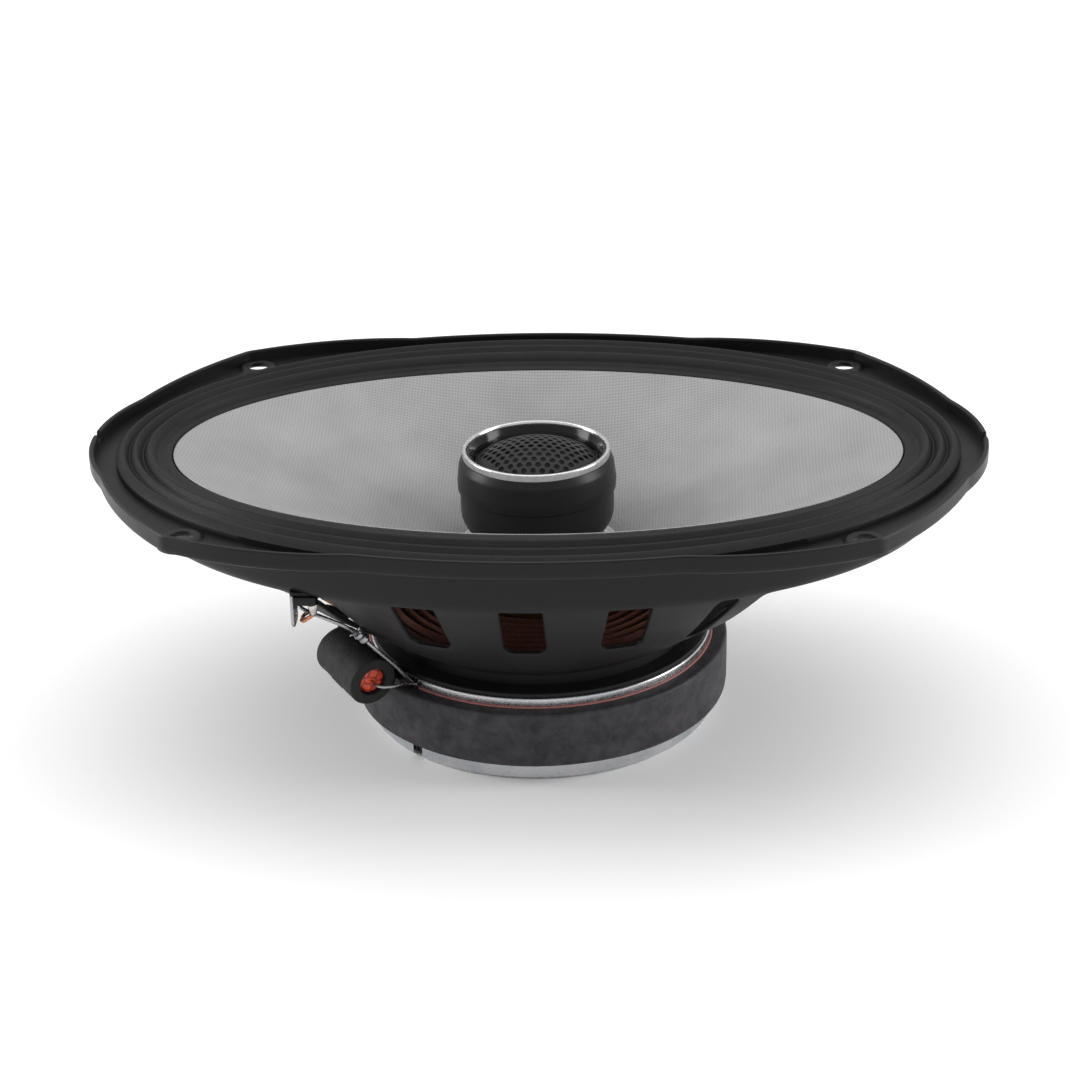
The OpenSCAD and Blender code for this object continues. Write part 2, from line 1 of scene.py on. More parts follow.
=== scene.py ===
"""Oval two-way coaxial car speaker, dressed around its CAD frame. Sizes in the shape code are millimetres."""
import math

import bmesh
import bpy
import numpy as np
from bpy.props import FloatProperty, FloatVectorProperty, IntProperty, PointerProperty
from mathutils import Matrix, Vector


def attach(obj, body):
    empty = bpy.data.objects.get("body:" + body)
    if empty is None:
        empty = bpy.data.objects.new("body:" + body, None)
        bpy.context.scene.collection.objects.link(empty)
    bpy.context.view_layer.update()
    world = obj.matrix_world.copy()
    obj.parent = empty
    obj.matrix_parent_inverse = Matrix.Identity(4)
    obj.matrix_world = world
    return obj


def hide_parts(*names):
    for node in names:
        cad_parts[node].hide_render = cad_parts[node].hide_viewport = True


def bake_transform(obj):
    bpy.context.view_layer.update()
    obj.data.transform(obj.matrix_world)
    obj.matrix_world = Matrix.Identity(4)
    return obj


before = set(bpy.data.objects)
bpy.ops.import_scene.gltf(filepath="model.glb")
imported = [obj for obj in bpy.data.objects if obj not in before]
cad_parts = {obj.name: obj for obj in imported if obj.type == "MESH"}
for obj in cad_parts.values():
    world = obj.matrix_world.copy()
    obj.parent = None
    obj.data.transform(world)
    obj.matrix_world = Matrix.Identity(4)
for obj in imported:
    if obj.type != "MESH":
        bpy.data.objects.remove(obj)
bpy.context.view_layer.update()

bl_info = {
    "name": "Coaxial Car Speaker",
    "version": (1, 0, 0),
    "blender": (4, 5, 0),
    "location": "View3D > Sidebar > Speaker",
    "description": "Builds the shapes and finishes of an oval two-way coaxial car speaker",
    "category": "Object",
}

MM = 0.001
FRAME, CONE, DOME = "frame", "cone_assembly", "tweeter_diaphragm"

# Shape of the flange and of the pressed body, as half lengths and half widths
FLANGE_UNDER, FLANGE_FLOOR, LIP_TOP = 71.9, 73.2, 76.7
END_ARC = (65.7, 51.8, 31.0)
SIDE_ARC = (-110.5, 190.0, 12.1)
CORNER = (87.0, 64.9)
CORNER_ROUNDING = 4.5
SHOULDER_TOP, SHOULDER_LOW = (107.2, 69.85), (104.6, 67.6)
CREASE, SHELF_R, SHELF_Z = 58.4, 46.3, 30.3
NECK_R, SEAT_Z = 40.6, 22.97
PADS = [(x, y) for x in (-83.0, 83.0) for y in (-59.0, 59.0)]
PAD_HOLE_R, PAD_LOW_R, PAD_TOP_R, PAD_TOP = 2.8, 6.4, 4.6, 74.2

# Cone and its suspension
CONE_EDGE, CONE_EDGE_Z = (95.6, 56.4), 73.9
ROLL_STRETCH, STRETCH_FROM = 1.4, 0.5  # Past this distance the roll is wider at the long sides
FORMER_R, CONE_NECK_Z = 19.2, 44.2
SPIDER_Z, SPIDER_R = 32.9, 44.6

# Places of the small parts
NOTCH = math.radians(229)
GROOVE = Vector((math.cos(NOTCH), math.sin(NOTCH), 0))
BOARD = Vector((-57, -58, 54.8))
BOARD_SIZE = Vector((5.8, 21, 2.3))
CAP_ANGLE, CAP_OFF, CAP_Z, CAP_TILT = math.radians(216), 56.8, 26.1, math.radians(7)
SLEEVE_R, SLEEVE_LEN, CORE_R = 6.75, 18.8, 3.75


# ---- Sizes and colours that a user may change ----

def colour(name, default, text):
    return FloatVectorProperty(name=name, description=text, default=default, size=3, min=0, max=1, subtype="COLOR")


def length(name, default, text):
    return FloatProperty(name=name, description=text, default=default, min=0, unit="LENGTH")


class SpeakerFinish(bpy.types.PropertyGroup):
    """Colours of the speaker's finishes"""
    paint: colour("Frame paint", (0.0075, 0.0073, 0.0082), "Satin powder coat of the pressed frame")
    rubber: colour("Surround rubber", (0.0065, 0.0063, 0.0072), "Rubber of the roll surround")
    weave: colour("Cone weave", (0.27, 0.265, 0.27), "Woven glass cone")
    cloth: colour("Spider cloth", (0.12, 0.03, 0.012), "Corrugated cloth behind the cone")
    zinc: colour("Zinc plating", (0.50, 0.53, 0.56), "Plated steel of the motor")
    boot: colour("Boot rubber", (0.031, 0.029, 0.032), "Rubber boot round the magnet")
    plastic: colour("Tweeter plastic", (0.0085, 0.0083, 0.009), "Moulded tweeter housing")
    silver: colour("Trim ring", (0.83, 0.83, 0.84), "Bright ring on the tweeter")
    resin: colour("Capacitor", (0.72, 0.042, 0.012), "Crumpled dipped coat of the capacitor")
    copper: colour("Copper", (0.72, 0.30, 0.16), "Braided and soldered leads")


class SpeakerSizes(bpy.types.PropertyGroup):
    """Sizes of the speaker's fine detail"""
    sheet: length("Frame sheet", 0.0013, "Thickness of the pressed frame")
    weave_pitch: length("Weave pitch", 0.0012, "Distance between threads of the cone's weave")
    hole_pitch: length("Grille pitch", 0.0024, "Distance between the tweeter grille's holes")
    hole_radius: length("Grille hole", 0.00075, "Radius of the tweeter grille's holes")
    strands: IntProperty(name="Strands", description="Strands in a braided lead", default=5, min=3, max=9)


class SpeakerStudio(bpy.types.PropertyGroup):
    """Camera and light of the studio"""
    distance: length("Camera distance", 0.69715, "Distance from the camera to the point it looks at")
    azimuth: FloatProperty(name="Azimuth", description="Turn of the camera round the speaker",
                           default=math.radians(4.148), subtype="ANGLE")
    elevation: FloatProperty(name="Elevation", description="Angle of the camera above the horizon",
                             default=math.radians(24.331), subtype="ANGLE")
    roll: FloatProperty(name="Roll", description="Tilt of the camera about its own axis",
                        default=math.radians(-1.486), subtype="ANGLE")
    lens: FloatProperty(name="Lens", description="Focal length on a 36 mm sensor", default=87.15, min=20,
                        unit="CAMERA")
    light: FloatProperty(name="Light", description="Strength of all the studio lights", default=1.0, min=0)


# ---- Shapes ----

def rounded(line, closed=False, steps=5):
    """A flat line of (a, b) or (a, b, radius) points with its corners rounded."""
    out = []
    for i, point in enumerate(line):
        if len(point) < 3 or (not closed and i in (0, len(line) - 1)):
            out.append((point[0], point[1]))
            continue
        corner = Vector(point[:2])
        before = Vector(line[i - 1][:2]) - corner
        after = Vector(line[(i + 1) % len(line)][:2]) - corner
        reach = min(point[2] / math.tan(before.angle(after) / 2), 0.49 * before.length, 0.49 * after.length)
        start, end = corner + before.normalized() * reach, corner + after.normalized() * reach
        for k in range(steps + 1):
            u = k / steps
            out.append(tuple((1 - u) ** 2 * start + 2 * u * (1 - u) * corner + u * u * end))
    return out


def spline(points, steps=8):
    """Smooth line through points, with steps between each two."""
    points = [Vector(p) for p in points]
    last = len(points) - 1
    out = []
    for i in range(last):
        p0, p1, p2, p3 = points[max(i - 1, 0)], points[i], points[i + 1], points[min(i + 2, last)]
        for s in range(steps):
            u = s / steps
            out.append(0.5 * (2 * p1 + u * (p2 - p0) + u * u * (2 * p0 - 5 * p1 + 4 * p2 - p3)
                              + u ** 3 * (3 * p1 - p0 - 3 * p2 + p3)))
    return out + [points[last]]


def ball_radius(rim, rise):
    """Radius of the ball that a cap with this rim radius and height is cut from."""
    return (rim * rim + rise * rise) / (2 * rise)


def from_axis(co):
    return np.hypot(co[:, 0], co[:, 1])


def circle(turns):
    """Points of a unit circle."""
    return [(math.cos(2 * math.pi * j / turns), math.sin(2 * math.pi * j / turns)) for j in range(turns)]


def smooth_step(low, high, value):
    u = np.clip((value - low) / (high - low), 0, 1)
    return u * u * (3 - 2 * u)


def ripple(co, size, amount, seed):
    """Soft uneven push of points, made of a few sine waves; size is the length of the shortest."""
    rng = np.random.default_rng(seed)
    total = np.zeros(len(co))
    for k in range(9):
        direction = rng.normal(size=3)
        direction /= np.linalg.norm(direction)
        wave = size * (1 + 2.2 * rng.random())
        total += np.sin(co @ direction * 2 * np.pi / wave + rng.random() * 6.28) / 3
    return total * amount


class Form:
    """Points and faces of one piece while it is being made, in millimetres."""

    def __init__(self):
        self.points, self.faces, self.place = [], [], Matrix.Identity(4)

    def add(self, points, faces):
        base = len(self.points)
        self.points.extend(tuple(self.place @ Vector(p)) for p in points)
        self.faces.extend(tuple(base + k for k in f) for f in faces)
        return self

    def at(self, place):
        """What is added next is moved by this matrix."""
        self.place = place
        return self

    def loop(self, rows, closed=True):
        """Skin over rows of points that each go once round; the rows close into a ring section if closed."""
        n, k = len(rows[0]), len(rows)
        faces = []
        for i in range(k if closed else k - 1):
            a, b = i * n, ((i + 1) % k) * n
            faces += [(a + j, a + (j + 1) % n, b + (j + 1) % n, b + j) for j in range(n)]
        if not closed:
            faces += [tuple(range(n - 1, -1, -1)), tuple((k - 1) * n + j for j in range(n))]
        return self.add([p for row in rows for p in row], faces)

    def lathe(self, line, turns=192, closed=True):
        """Turns a (radius, height) line about Z; an open line ends in flat faces across the axis."""
        unit = circle(turns)
        return self.loop([[(r * c, r * s, z) for c, s in unit] for r, z in line], closed)

    def turned(self, line, turns, steps=4):
        """Lathe of a closed line with rounded corners."""
        return self.lathe(rounded(line, True, steps), turns)

    def oval(self, line, half, turns):
        """Ring whose section is (distance out from the oval of these half sizes, height), wider at the sides."""
        rows = []
        for d, z in line:
            a, b = half[0] + d, half[1] + d * (ROLL_STRETCH if d > STRETCH_FROM else 1)
            rows.append([(a * c, b * s, z) for c, s in circle(turns)])
        return self.loop(rows)

    def tube(self, path, radius, sides=12):
        """Round wire along path; radius is one number or one for each point."""
        path = [Vector(p) for p in path]
        radii = radius if isinstance(radius, (list, tuple)) else [radius] * len(path)
        side = Vector((0.31, 0.52, 0.79))
        rows = []
        for i, point in enumerate(path):
            along = (path[min(i + 1, len(path) - 1)] - path[max(i - 1, 0)]).normalized()
            side = (side - along * side.dot(along)).normalized()
            other = along.cross(side)
            rows.append([point + radii[i] * (math.cos(t) * side + math.sin(t) * other)
                         for t in (2 * math.pi * k / sides for k in range(sides))])
        return self.loop(rows, closed=False)

    def slab(self, outline, z0, z1, edge=0.2):
        """Plate with a flat outline between two heights, its edges rounded off."""
        centre = Vector((sum(p[0] for p in outline) / len(outline), sum(p[1] for p in outline) / len(outline)))

        def ring(inset, z):
            row = []
            for p in outline:
                v = Vector(p[:2]) - centre
                pull = Vector((math.copysign(min(inset, abs(v.x)), v.x), math.copysign(min(inset, abs(v.y)), v.y)))
                row.append((p[0] - pull.x, p[1] - pull.y, z))
            return row
        rows = [ring(edge, z0), ring(edge * 0.3, z0 + edge * 0.3), ring(0, z0 + edge),
                ring(0, z1 - edge), ring(edge * 0.3, z1 - edge * 0.3), ring(edge, z1)]
        return self.loop(rows, closed=False)

    def warp(self, change):
        """change takes all points as an array and returns them moved."""
        self.points = [tuple(p) for p in change(np.array(self.points))]
        return self

    def build(self, name, finish, body, replaces=None, crease=38.0):
        """Makes the object, gives it its finish and rides it on its body; it replaces the node of its own name
        unless others are named."""
        mesh = bpy.data.meshes.new(name)
        mesh.from_pydata([(x * MM, y * MM, z * MM) for x, y, z in self.points], [], self.faces)
        tidy = bmesh.new()
        tidy.from_mesh(mesh)
        bmesh.ops.remove_doubles(tidy, verts=tidy.verts, dist=1e-7)
        bmesh.ops.recalc_face_normals(tidy, faces=tidy.faces)
        tidy.to_mesh(mesh)
        tidy.free()
        mesh.shade_smooth()
        mesh.set_sharp_from_angle(angle=math.radians(crease))
        piece = bpy.data.objects.new(name, mesh)
        bpy.context.scene.collection.objects.link(piece)
        mesh.materials.append(finishes()[finish])
        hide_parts(*(replaces or [name]))
        if body:
            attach(piece, body)
        return piece


class Sheet:
    """A thin sheet over a grid of stations, with openings cut out of it and their edges rounded over."""

    def __init__(self, outer, inward, clear, wrap=True):
        u, v = clear.shape
        self.rows = [tuple(r) for r in np.concatenate([outer, inward, clear[..., None]], -1).reshape(-1, 7)]
        self.faces = [(i * v + j, ((i + 1) % u) * v + j, ((i + 1) % u) * v + j + 1, i * v + j + 1)
                      for i in range(u if wrap else u - 1) for j in range(v - 1)]

    def split(self, level, keep_below):
        """Cuts the faces along the line where the clearance to an opening is level."""
        rows, cuts, out = self.rows, {}, []

        def crossing(a, b):
            key = (a, b) if a < b else (b, a)
            if key not in cuts:
                fa, fb = rows[key[0]][6] - level, rows[key[1]][6] - level
                share = min(max(fa / (fa - fb), 0.04), 0.96)
                cuts[key] = len(rows)
                rows.append(tuple(p + (q - p) * share for p, q in zip(rows[key[0]], rows[key[1]]))[:6] + (level,))
            return cuts[key]
        for face in self.faces:
            above = [rows[k][6] >= level for k in face]
            if all(above):
                out.append(face)
                continue
            if not any(above):
                if keep_below:
                    out.append(face)
                continue
            high, low = [], []
            for k, a in enumerate(face):
                b = face[(k + 1) % len(face)]
                (high if above[k] else low).append(a)
                if above[k] != above[(k + 1) % len(face)]:
                    middle = crossing(a, b)
                    high.append(middle)
                    low.append(middle)
            out.append(tuple(high))
            if keep_below:
                out.append(tuple(low))
        self.faces = out
        return self

    def thicken(self, form, thickness, edge):
        """Adds both skins and the walls of every opening to form."""
        self.split(edge, True).split(0, False)
        used = sorted({k for f in self.faces for k in f})
        number = {k: i for i, k in enumerate(used)}
        rows = np.array([self.rows[k] for k in used])
        point, inward = rows[:, :3], rows[:, 3:6]
        inward = inward / np.linalg.norm(inward, axis=1)[:, None]
        drop = (edge * 0.8 * np.clip(1 - rows[:, 6] / edge, 0, 1))[:, None]
        n = len(used)
        faces = [tuple(number[k] for k in f) for f in self.faces]
        edges = dict.fromkeys(pair for f in faces for pair in zip(f, f[1:] + f[:1]))
        walls = [(b, a, a + n, b + n) for a, b in edges if (b, a) not in edges]
        form.add(np.concatenate([point + inward * drop, point + inward * (thickness - drop)]).tolist(),
                 faces + [tuple(k + n for k in reversed(f)) for f in faces] + walls)


# ---- Finishes ----

class Socket:
    """A number on its way through a finish. Arithmetic on it adds Math nodes."""

    def __init__(self, recipe, link):
        self.recipe, self.link = recipe, link

    def __add__(self, other):
        return self.recipe.math("ADD", self, other)

    def __sub__(self, other):
        return self.recipe.math("SUBTRACT", self, other)

    def __mul__(self, other):
        return self.recipe.math("MULTIPLY", self, other)

    __radd__, __rmul__ = __add__, __mul__


class Recipe:
    """One finish: a material, its shader and the nodes that feed it. Lengths are millimetres."""

    def __init__(self, name, tint, **values):
        self.material = bpy.data.materials.new(name)
        self.material.use_nodes = True
        self.tree = self.material.node_tree
        self.shader = self.tree.nodes["Principled BSDF"]
        self.tint = tuple(tint)
        self.shader.inputs["Base Color"].default_value = (*self.tint, 1)
        for key, value in values.items():
            self.shader.inputs[key.replace("_", " ")].default_value = value
        place = self.node("ShaderNodeTexCoord", output="Object")
        self.place = self.node("ShaderNodeVectorMath", {"operation": "SCALE"}, {0: place, "Scale": 1 / MM})

    def node(self, kind, settings=None, inputs=None, output=0):
        """Adds a node: its settings first, then the values or links of its sockets."""
        made = self.tree.nodes.new(kind)
        for key, value in (settings or {}).items():
            setattr(made, key, value)
        for key, value in (inputs or {}).items():
            self.feed(made.inputs[key], value)
        return Socket(self, made.outputs[output])

    def feed(self, target, value):
        if isinstance(value, Socket):
            self.tree.links.new(value.link, target)
        else:
            target.default_value = value

    def math(self, operation, *values):
        return self.node("ShaderNodeMath", {"operation": operation}, dict(enumerate(values)))

    def axes(self):
        """X, Y and Z of the point, in millimetres."""
        return [self.node("ShaderNodeSeparateXYZ", None, {0: self.place}, axis) for axis in "XYZ"]

    def noise(self, size, detail=3.0, roughness=0.55):
        """Uneven field from 0 to 1 with patches of about this size."""
        return self.node("ShaderNodeTexNoise", None,
                         {"Vector": self.place, "Scale": 1 / size, "Detail": detail, "Roughness": roughness})

    def cells(self, size, feature="F1"):
        """Distance field of cells of about this size."""
        return self.node("ShaderNodeTexVoronoi", {"feature": feature}, {"Vector": self.place, "Scale": 1 / size},
                         "Distance")

    def between(self, value, low, high, to_low=0.0, to_high=1.0):
        """Maps value from low..high to the new range, held at its ends."""
        return self.node("ShaderNodeMapRange", None, {0: value, 1: low, 2: high, 3: to_low, 4: to_high})

    def wave(self, value, pitch):
        """Sine of a distance, one turn in each pitch, from -1 to 1."""
        return self.math("SINE", value * (2 * math.pi / pitch))

    def radius(self):
        """Distance from the speaker's axis."""
        x, y, _ = self.axes()
        return self.math("SQRT", x * x + y * y)

    def blend(self, factor, first, second):
        """Colour that goes from first to second with factor."""
        sockets = {0: factor}
        for key, tint in ((6, first), (7, second)):
            sockets[key] = tint if isinstance(tint, Socket) else (*tint, 1)
        return self.node("ShaderNodeMix", {"data_type": "RGBA"}, sockets, 2)

    def spread(self, field, low, high):
        """Spreads the middle of a noise over a range, for a roughness that varies."""
        return self.between(field, 0.3, 0.7, low, high)

    def shades(self, factor, low, high):
        """The finish's own colour made darker to lighter by factor."""
        return self.blend(factor, tuple(c * low for c in self.tint), tuple(min(1, c * high) for c in self.tint))

    def bump(self, height, depth):
        """Relief: height from 0 to 1 stands for depth in millimetres."""
        return self.node("ShaderNodeBump", None, {"Height": height, "Distance": depth * MM, "Strength": 1.0})

    def paint(self, **sockets):
        for key, value in sockets.items():
            self.feed(self.shader.inputs[key.replace("_", " ")], value)
        return self.material


def powder_coat(name, tint):
    """Satin baked paint with a faint orange peel and dust that dulls it in patches."""
    r = Recipe(name, tint, Specular_IOR_Level=0.2)
    patch, peel = r.noise(22, 4), r.noise(0.8, 2)
    return r.paint(Base_Color=r.shades(patch, 0.75, 1.5), Roughness=r.spread(patch, 0.34, 0.46),
                   Normal=r.bump(peel, 0.035))


def moulded(name, tint, gloss, grain=0.02):
    """Moulded plastic with a fine spark-eroded grain."""
    r = Recipe(name, tint, Specular_IOR_Level=0.25)
    patch = r.noise(9, 3)
    return r.paint(Base_Color=r.shades(patch, 0.85, 1.2), Roughness=r.spread(patch, gloss - 0.05, gloss + 0.06),
                   Normal=r.bump(r.noise(0.25, 2), grain))


def rubber(name, tint, dull=0.6, mottle=0.0):
    """Moulded rubber, a little uneven in gloss; mottle adds the pale bloom of a magnet's boot."""
    r = Recipe(name, tint, Specular_IOR_Level=0.2)
    patch, fine = r.noise(7, 5, 0.65), r.noise(0.5, 3)
    cloud = r.noise(3.2, 6, 0.7)
    shade = r.between(patch * 0.5 + cloud * 0.5, 0.38, 0.62)
    return r.paint(Base_Color=r.shades(shade, 0.8 - mottle * 0.35, 1.25 + mottle * 1.6),
                   Roughness=r.spread(fine, dull - 0.07, dull + 0.08),
                   Normal=r.bump(fine * 0.4 + cloud * 0.6, 0.03 + mottle * 0.12))


def woven_glass(name, tint, pitch):
    """Diagonal plain weave of glass yarn in clear resin."""
    r = Recipe(name, tint, Coat_Roughness=0.2)
    x, y, z = r.axes()
    a, b = (x + y) * 0.7071, (x - y) * 0.7071
    wobble = r.noise(6, 2) * 0.5
    warp, weft = r.wave(a + wobble, pitch), r.wave(b + wobble, pitch)
    over = warp * weft
    strand = r.noise(0.5, 2, 0.6)
    cloud = r.noise(16, 4)
    yarn = r.between(over, -1, 1)
    shade = yarn * 0.45 + strand * 0.25 + cloud * 0.5
    return r.paint(Base_Color=r.shades(r.between(shade, 0.35, 0.85), 0.78, 1.2),
                   Roughness=r.spread(cloud, 0.36, 0.5), Coat_Weight=r.spread(cloud, 0.15, 0.4),
                   Normal=r.bump(yarn * 0.7 + strand * 0.3, 0.05))


def spider_cloth(name, tint):
    """Resin-stiffened cotton cloth: square weave, with painted shade that darkens the dips of the waves."""
    r = Recipe(name, tint, Roughness=0.85, Sheen_Weight=0.15)
    x, y, z = r.axes()
    over = r.wave(x + r.noise(3, 2) * 0.3, 0.7) * r.wave(y + r.noise(3.3, 2) * 0.3, 0.7)
    yarn = r.between(over, -0.8, 0.8)
    # Painted shade: the cloth's colour is darker low in the waves and lighter on their crests.
    height = r.between(z, SPIDER_Z - 1.3, SPIDER_Z + 1.1)
    patch = r.noise(5, 4)
    shade = height * 0.5 + yarn * 0.25 + patch * 0.35
    base = r.blend(r.between(shade, 0.25, 0.95), tuple(c * 0.3 for c in tint), tuple(c * 1.5 for c in tint))
    return r.paint(Base_Color=base, Roughness=r.spread(patch, 0.75, 0.95), Normal=r.bump(yarn, 0.1))


def zinc(name, tint, rough=0.24):
    """Bright zinc plating over turned steel, with its faint blue, straw and pink cast."""
    r = Recipe(name, tint, Metallic=1.0)
    x, y, z = r.axes()
    cast, cloud = r.noise(9, 3), r.noise(2.2, 5, 0.7)
    cool = r.blend(r.between(cast, 0.35, 0.6), tint, (0.60, 0.585, 0.60))
    warm = r.blend(r.between(cloud, 0.5, 0.75, 0, 0.35), cool, (0.60, 0.52, 0.45))
    turned = r.wave(z + r.noise(2, 2) * 0.05, 0.16) * 0.5 + r.wave(r.radius(), 0.22) * 0.5
    return r.paint(Base_Color=warm, Roughness=r.between(cloud, 0.3, 0.75, rough - 0.05, rough + 0.12),
                   Normal=r.bump(turned * 0.3 + cloud, 0.012))


def bare_metal(name, tint, rough, grain=0.6):
    """Plain or tinned metal with small dents and tarnish."""
    r = Recipe(name, tint, Metallic=1.0)
    cloud = r.noise(grain, 4, 0.65)
    return r.paint(Base_Color=r.shades(cloud, 0.6, 1.1), Roughness=r.spread(cloud, rough - 0.1, rough + 0.12),
                   Normal=r.bump(cloud, 0.05))


def foam(name, tint):
    """Closed cell foam sleeve: fine pits and a dry surface; painted shade darkens the pits."""
    r = Recipe(name, tint, Specular_IOR_Level=0.35)
    pits = r.cells(0.45)
    cloud = r.noise(2.5, 4)
    # Base colour: random cloudy tone, plus painted shade that darkens the middle of each pit.
    return r.paint(Base_Color=r.shades(r.between(cloud * 0.6 + pits * 0.6, 0.2, 0.8), 0.6, 1.6),
                   Roughness=r.spread(cloud, 0.62, 0.8),
                   Normal=r.bump(pits * 0.6 + cloud * 0.4, 0.16))


def dipped_resin(name, tint):
    """Crumpled dipped coat, its creases darkened with painted shade."""
    r = Recipe(name, tint, Coat_Weight=0.4, Coat_Roughness=0.25)
    # Painted shade: the colour goes dark along the creases; the cloud adds random tone.
    crease = r.between(r.cells(2.1, "DISTANCE_TO_EDGE"), 0.0, 0.16)
    cloud = r.noise(0.9, 4, 0.6)
    shade = r.between(crease * 0.35 + cloud * 0.9, 0.35, 1.0)
    dark, light = (0.16, 0.012, 0.008), (min(1, tint[0] * 1.25), tint[1] * 1.9, tint[2] * 1.6)
    return r.paint(Base_Color=r.blend(shade, dark, light),
                   Roughness=r.spread(cloud, 0.32, 0.5), Normal=r.bump(crease * 0.6 + cloud * 0.4, 0.35))


def bead(name, tint, rough=0.2):
    """Hand laid glue or adhesive, smooth with slow waves."""
    r = Recipe(name, tint)
    wave = r.noise(1.6, 3)
    return r.paint(Base_Color=r.shades(wave, 0.75, 1.25), Roughness=r.spread(wave, rough, rough + 0.18),
                   Normal=r.bump(wave, 0.15))


def braid(name, tint):
    """Copper strands, tarnished in places."""
    r = Recipe(name, tint, Metallic=1.0)
    cloud = r.noise(1.1, 4, 0.6)
    tarnish = r.blend(r.between(cloud, 0.42, 0.7), tint, tuple(c * 0.28 for c in tint))
    return r.paint(Base_Color=tarnish, Roughness=r.spread(cloud, 0.28, 0.5),
                   Normal=r.bump(r.noise(0.12, 2), 0.03))


def wound(name, tint, pitch=0.3):
    """Fine wire wound in layers, seen as rings."""
    r = Recipe(name, tint, Metallic=0.9)
    x, y, z = r.axes()
    ring = r.between(r.wave(z, pitch), -1, 1)
    return r.paint(Base_Color=r.shades(ring, 0.45, 1.1), Roughness=r.between(ring, 0, 1, 0.5, 0.3),
                   Normal=r.bump(ring, 0.08))


def stone(name, tint, size=0.8):
    """Pressed and ground magnet body, with fine pores."""
    r = Recipe(name, tint, Specular_IOR_Level=0.5)
    grain, pore = r.noise(size, 5, 0.7), r.cells(size * 1.4)
    return r.paint(Base_Color=r.shades(grain, 0.7, 1.4), Roughness=r.spread(grain, 0.5, 0.72),
                   Normal=r.bump(grain * 0.6 + pore * 0.4, 0.05))


def silk(name, tint):
    """Doped silk: very fine square weave under a soft coat."""
    r = Recipe(name, tint, Sheen_Weight=0.1, Specular_IOR_Level=0.3)
    x, y, z = r.axes()
    yarn = r.between(r.wave(x, 0.32) * r.wave(y, 0.32), -1, 1)
    return r.paint(Base_Color=r.shades(yarn, 0.7, 1.3), Roughness=r.spread(r.noise(3), 0.45, 0.6),
                   Normal=r.bump(yarn, 0.03))


FINISHES = {}


def finishes():
    """Every finish by the name of its slot, made once."""
    if not FINISHES:
        tint, size = bpy.context.scene.speaker_finish, bpy.context.scene.speaker_sizes
        tin, steel = (0.42, 0.42, 0.44), (0.55, 0.56, 0.58)
        table = {
            "frame_paint": (powder_coat, tint.paint),
            "rivet_steel": (bare_metal, steel, 0.34),
            "surround_rubber": (rubber, tint.rubber, 0.5),
            "spider_cloth": (spider_cloth, tint.cloth),
            "zinc_plate": (zinc, tint.zinc),
            "ferrite": (stone, (0.035, 0.035, 0.037)),
            "boot_rubber": (rubber, tint.boot, 0.55, 0.3),
            "pink_adhesive": (bead, (0.42, 0.16, 0.15), 0.4),
            "black_plastic": (moulded, tint.plastic, 0.36, 0.012),
            "copper_braid": (braid, tint.copper),
            "board_plastic": (moulded, (0.006, 0.006, 0.0065), 0.5),
            "tinned_metal": (bare_metal, tin, 0.28),
            "solder": (bare_metal, (0.66, 0.62, 0.58), 0.26, 0.9),
            "capacitor_resin": (dipped_resin, tint.resin),
            "sleeve_foam": (foam, (0.009, 0.009, 0.0095)),
            "black_glue": (bead, (0.008, 0.008, 0.009), 0.15),
            "wire_cover": (moulded, (0.007, 0.007, 0.0075), 0.4),
            "trim_silver": (bare_metal, tint.silver, 0.2, 1.5),
            "bezel_plastic": (moulded, (0.006, 0.006, 0.0065), 0.14, 0.004),
            "grille_paint": (powder_coat, (0.012, 0.012, 0.013)),
            "dome_silk": (silk, (0.008, 0.008, 0.009)),
            "neodymium": (bare_metal, (0.6, 0.6, 0.61), 0.2, 2.0),
            "tag_brass": (bare_metal, (0.78, 0.57, 0.25), 0.3),
            "cone_weave": (woven_glass, tint.weave, size.weave_pitch / MM),
            "collar_resin": (bead, (0.62, 0.62, 0.63), 0.35),
            "former_film": (bead, (0.10, 0.045, 0.02), 0.3),
            "copper_wire": (wound, tint.copper),
        }
        FINISHES.update({slot: make(slot, *values) for slot, (make, *values) in table.items()})
    return FINISHES


# ---- Frame ----

def flange_outline(count):
    """Points of the flange's outline at evenly spread polar angles."""
    x0, r0, sweep = END_ARC
    end = [(x0 + r0 * math.cos(math.radians(t)), r0 * math.sin(math.radians(t))) for t in np.linspace(0, sweep, 40)]
    y1, r1, half = SIDE_ARC
    side = [(r1 * math.cos(math.radians(t)), y1 + r1 * math.sin(math.radians(t)))
            for t in np.linspace(90 - half, 90, 40)]
    corner = rounded([end[-1], (*CORNER, CORNER_ROUNDING), side[0]], steps=14)
    quarter = np.array(end + corner[1:-1] + side)
    whole = np.concatenate([quarter, quarter[::-1] * (-1, 1), -quarter, quarter[::-1] * (1, -1)])
    angle = np.unwrap(np.arctan2(whole[:, 1], whole[:, 0]))
    keep = np.concatenate([[True], np.diff(angle) > 1e-6])
    whole, angle = whole[keep], angle[keep]
    dense = 2 * np.pi * np.arange(-4, count + 4) / count
    reach = np.interp(dense, angle, np.hypot(*whole.T), period=2 * np.pi)
    kernel = np.array([1, 2, 3, 2, 1]) / 9
    reach = np.convolve(reach, kernel, "same")
    return np.stack([reach * np.cos(dense), reach * np.sin(dense)], 1)[4:-4]


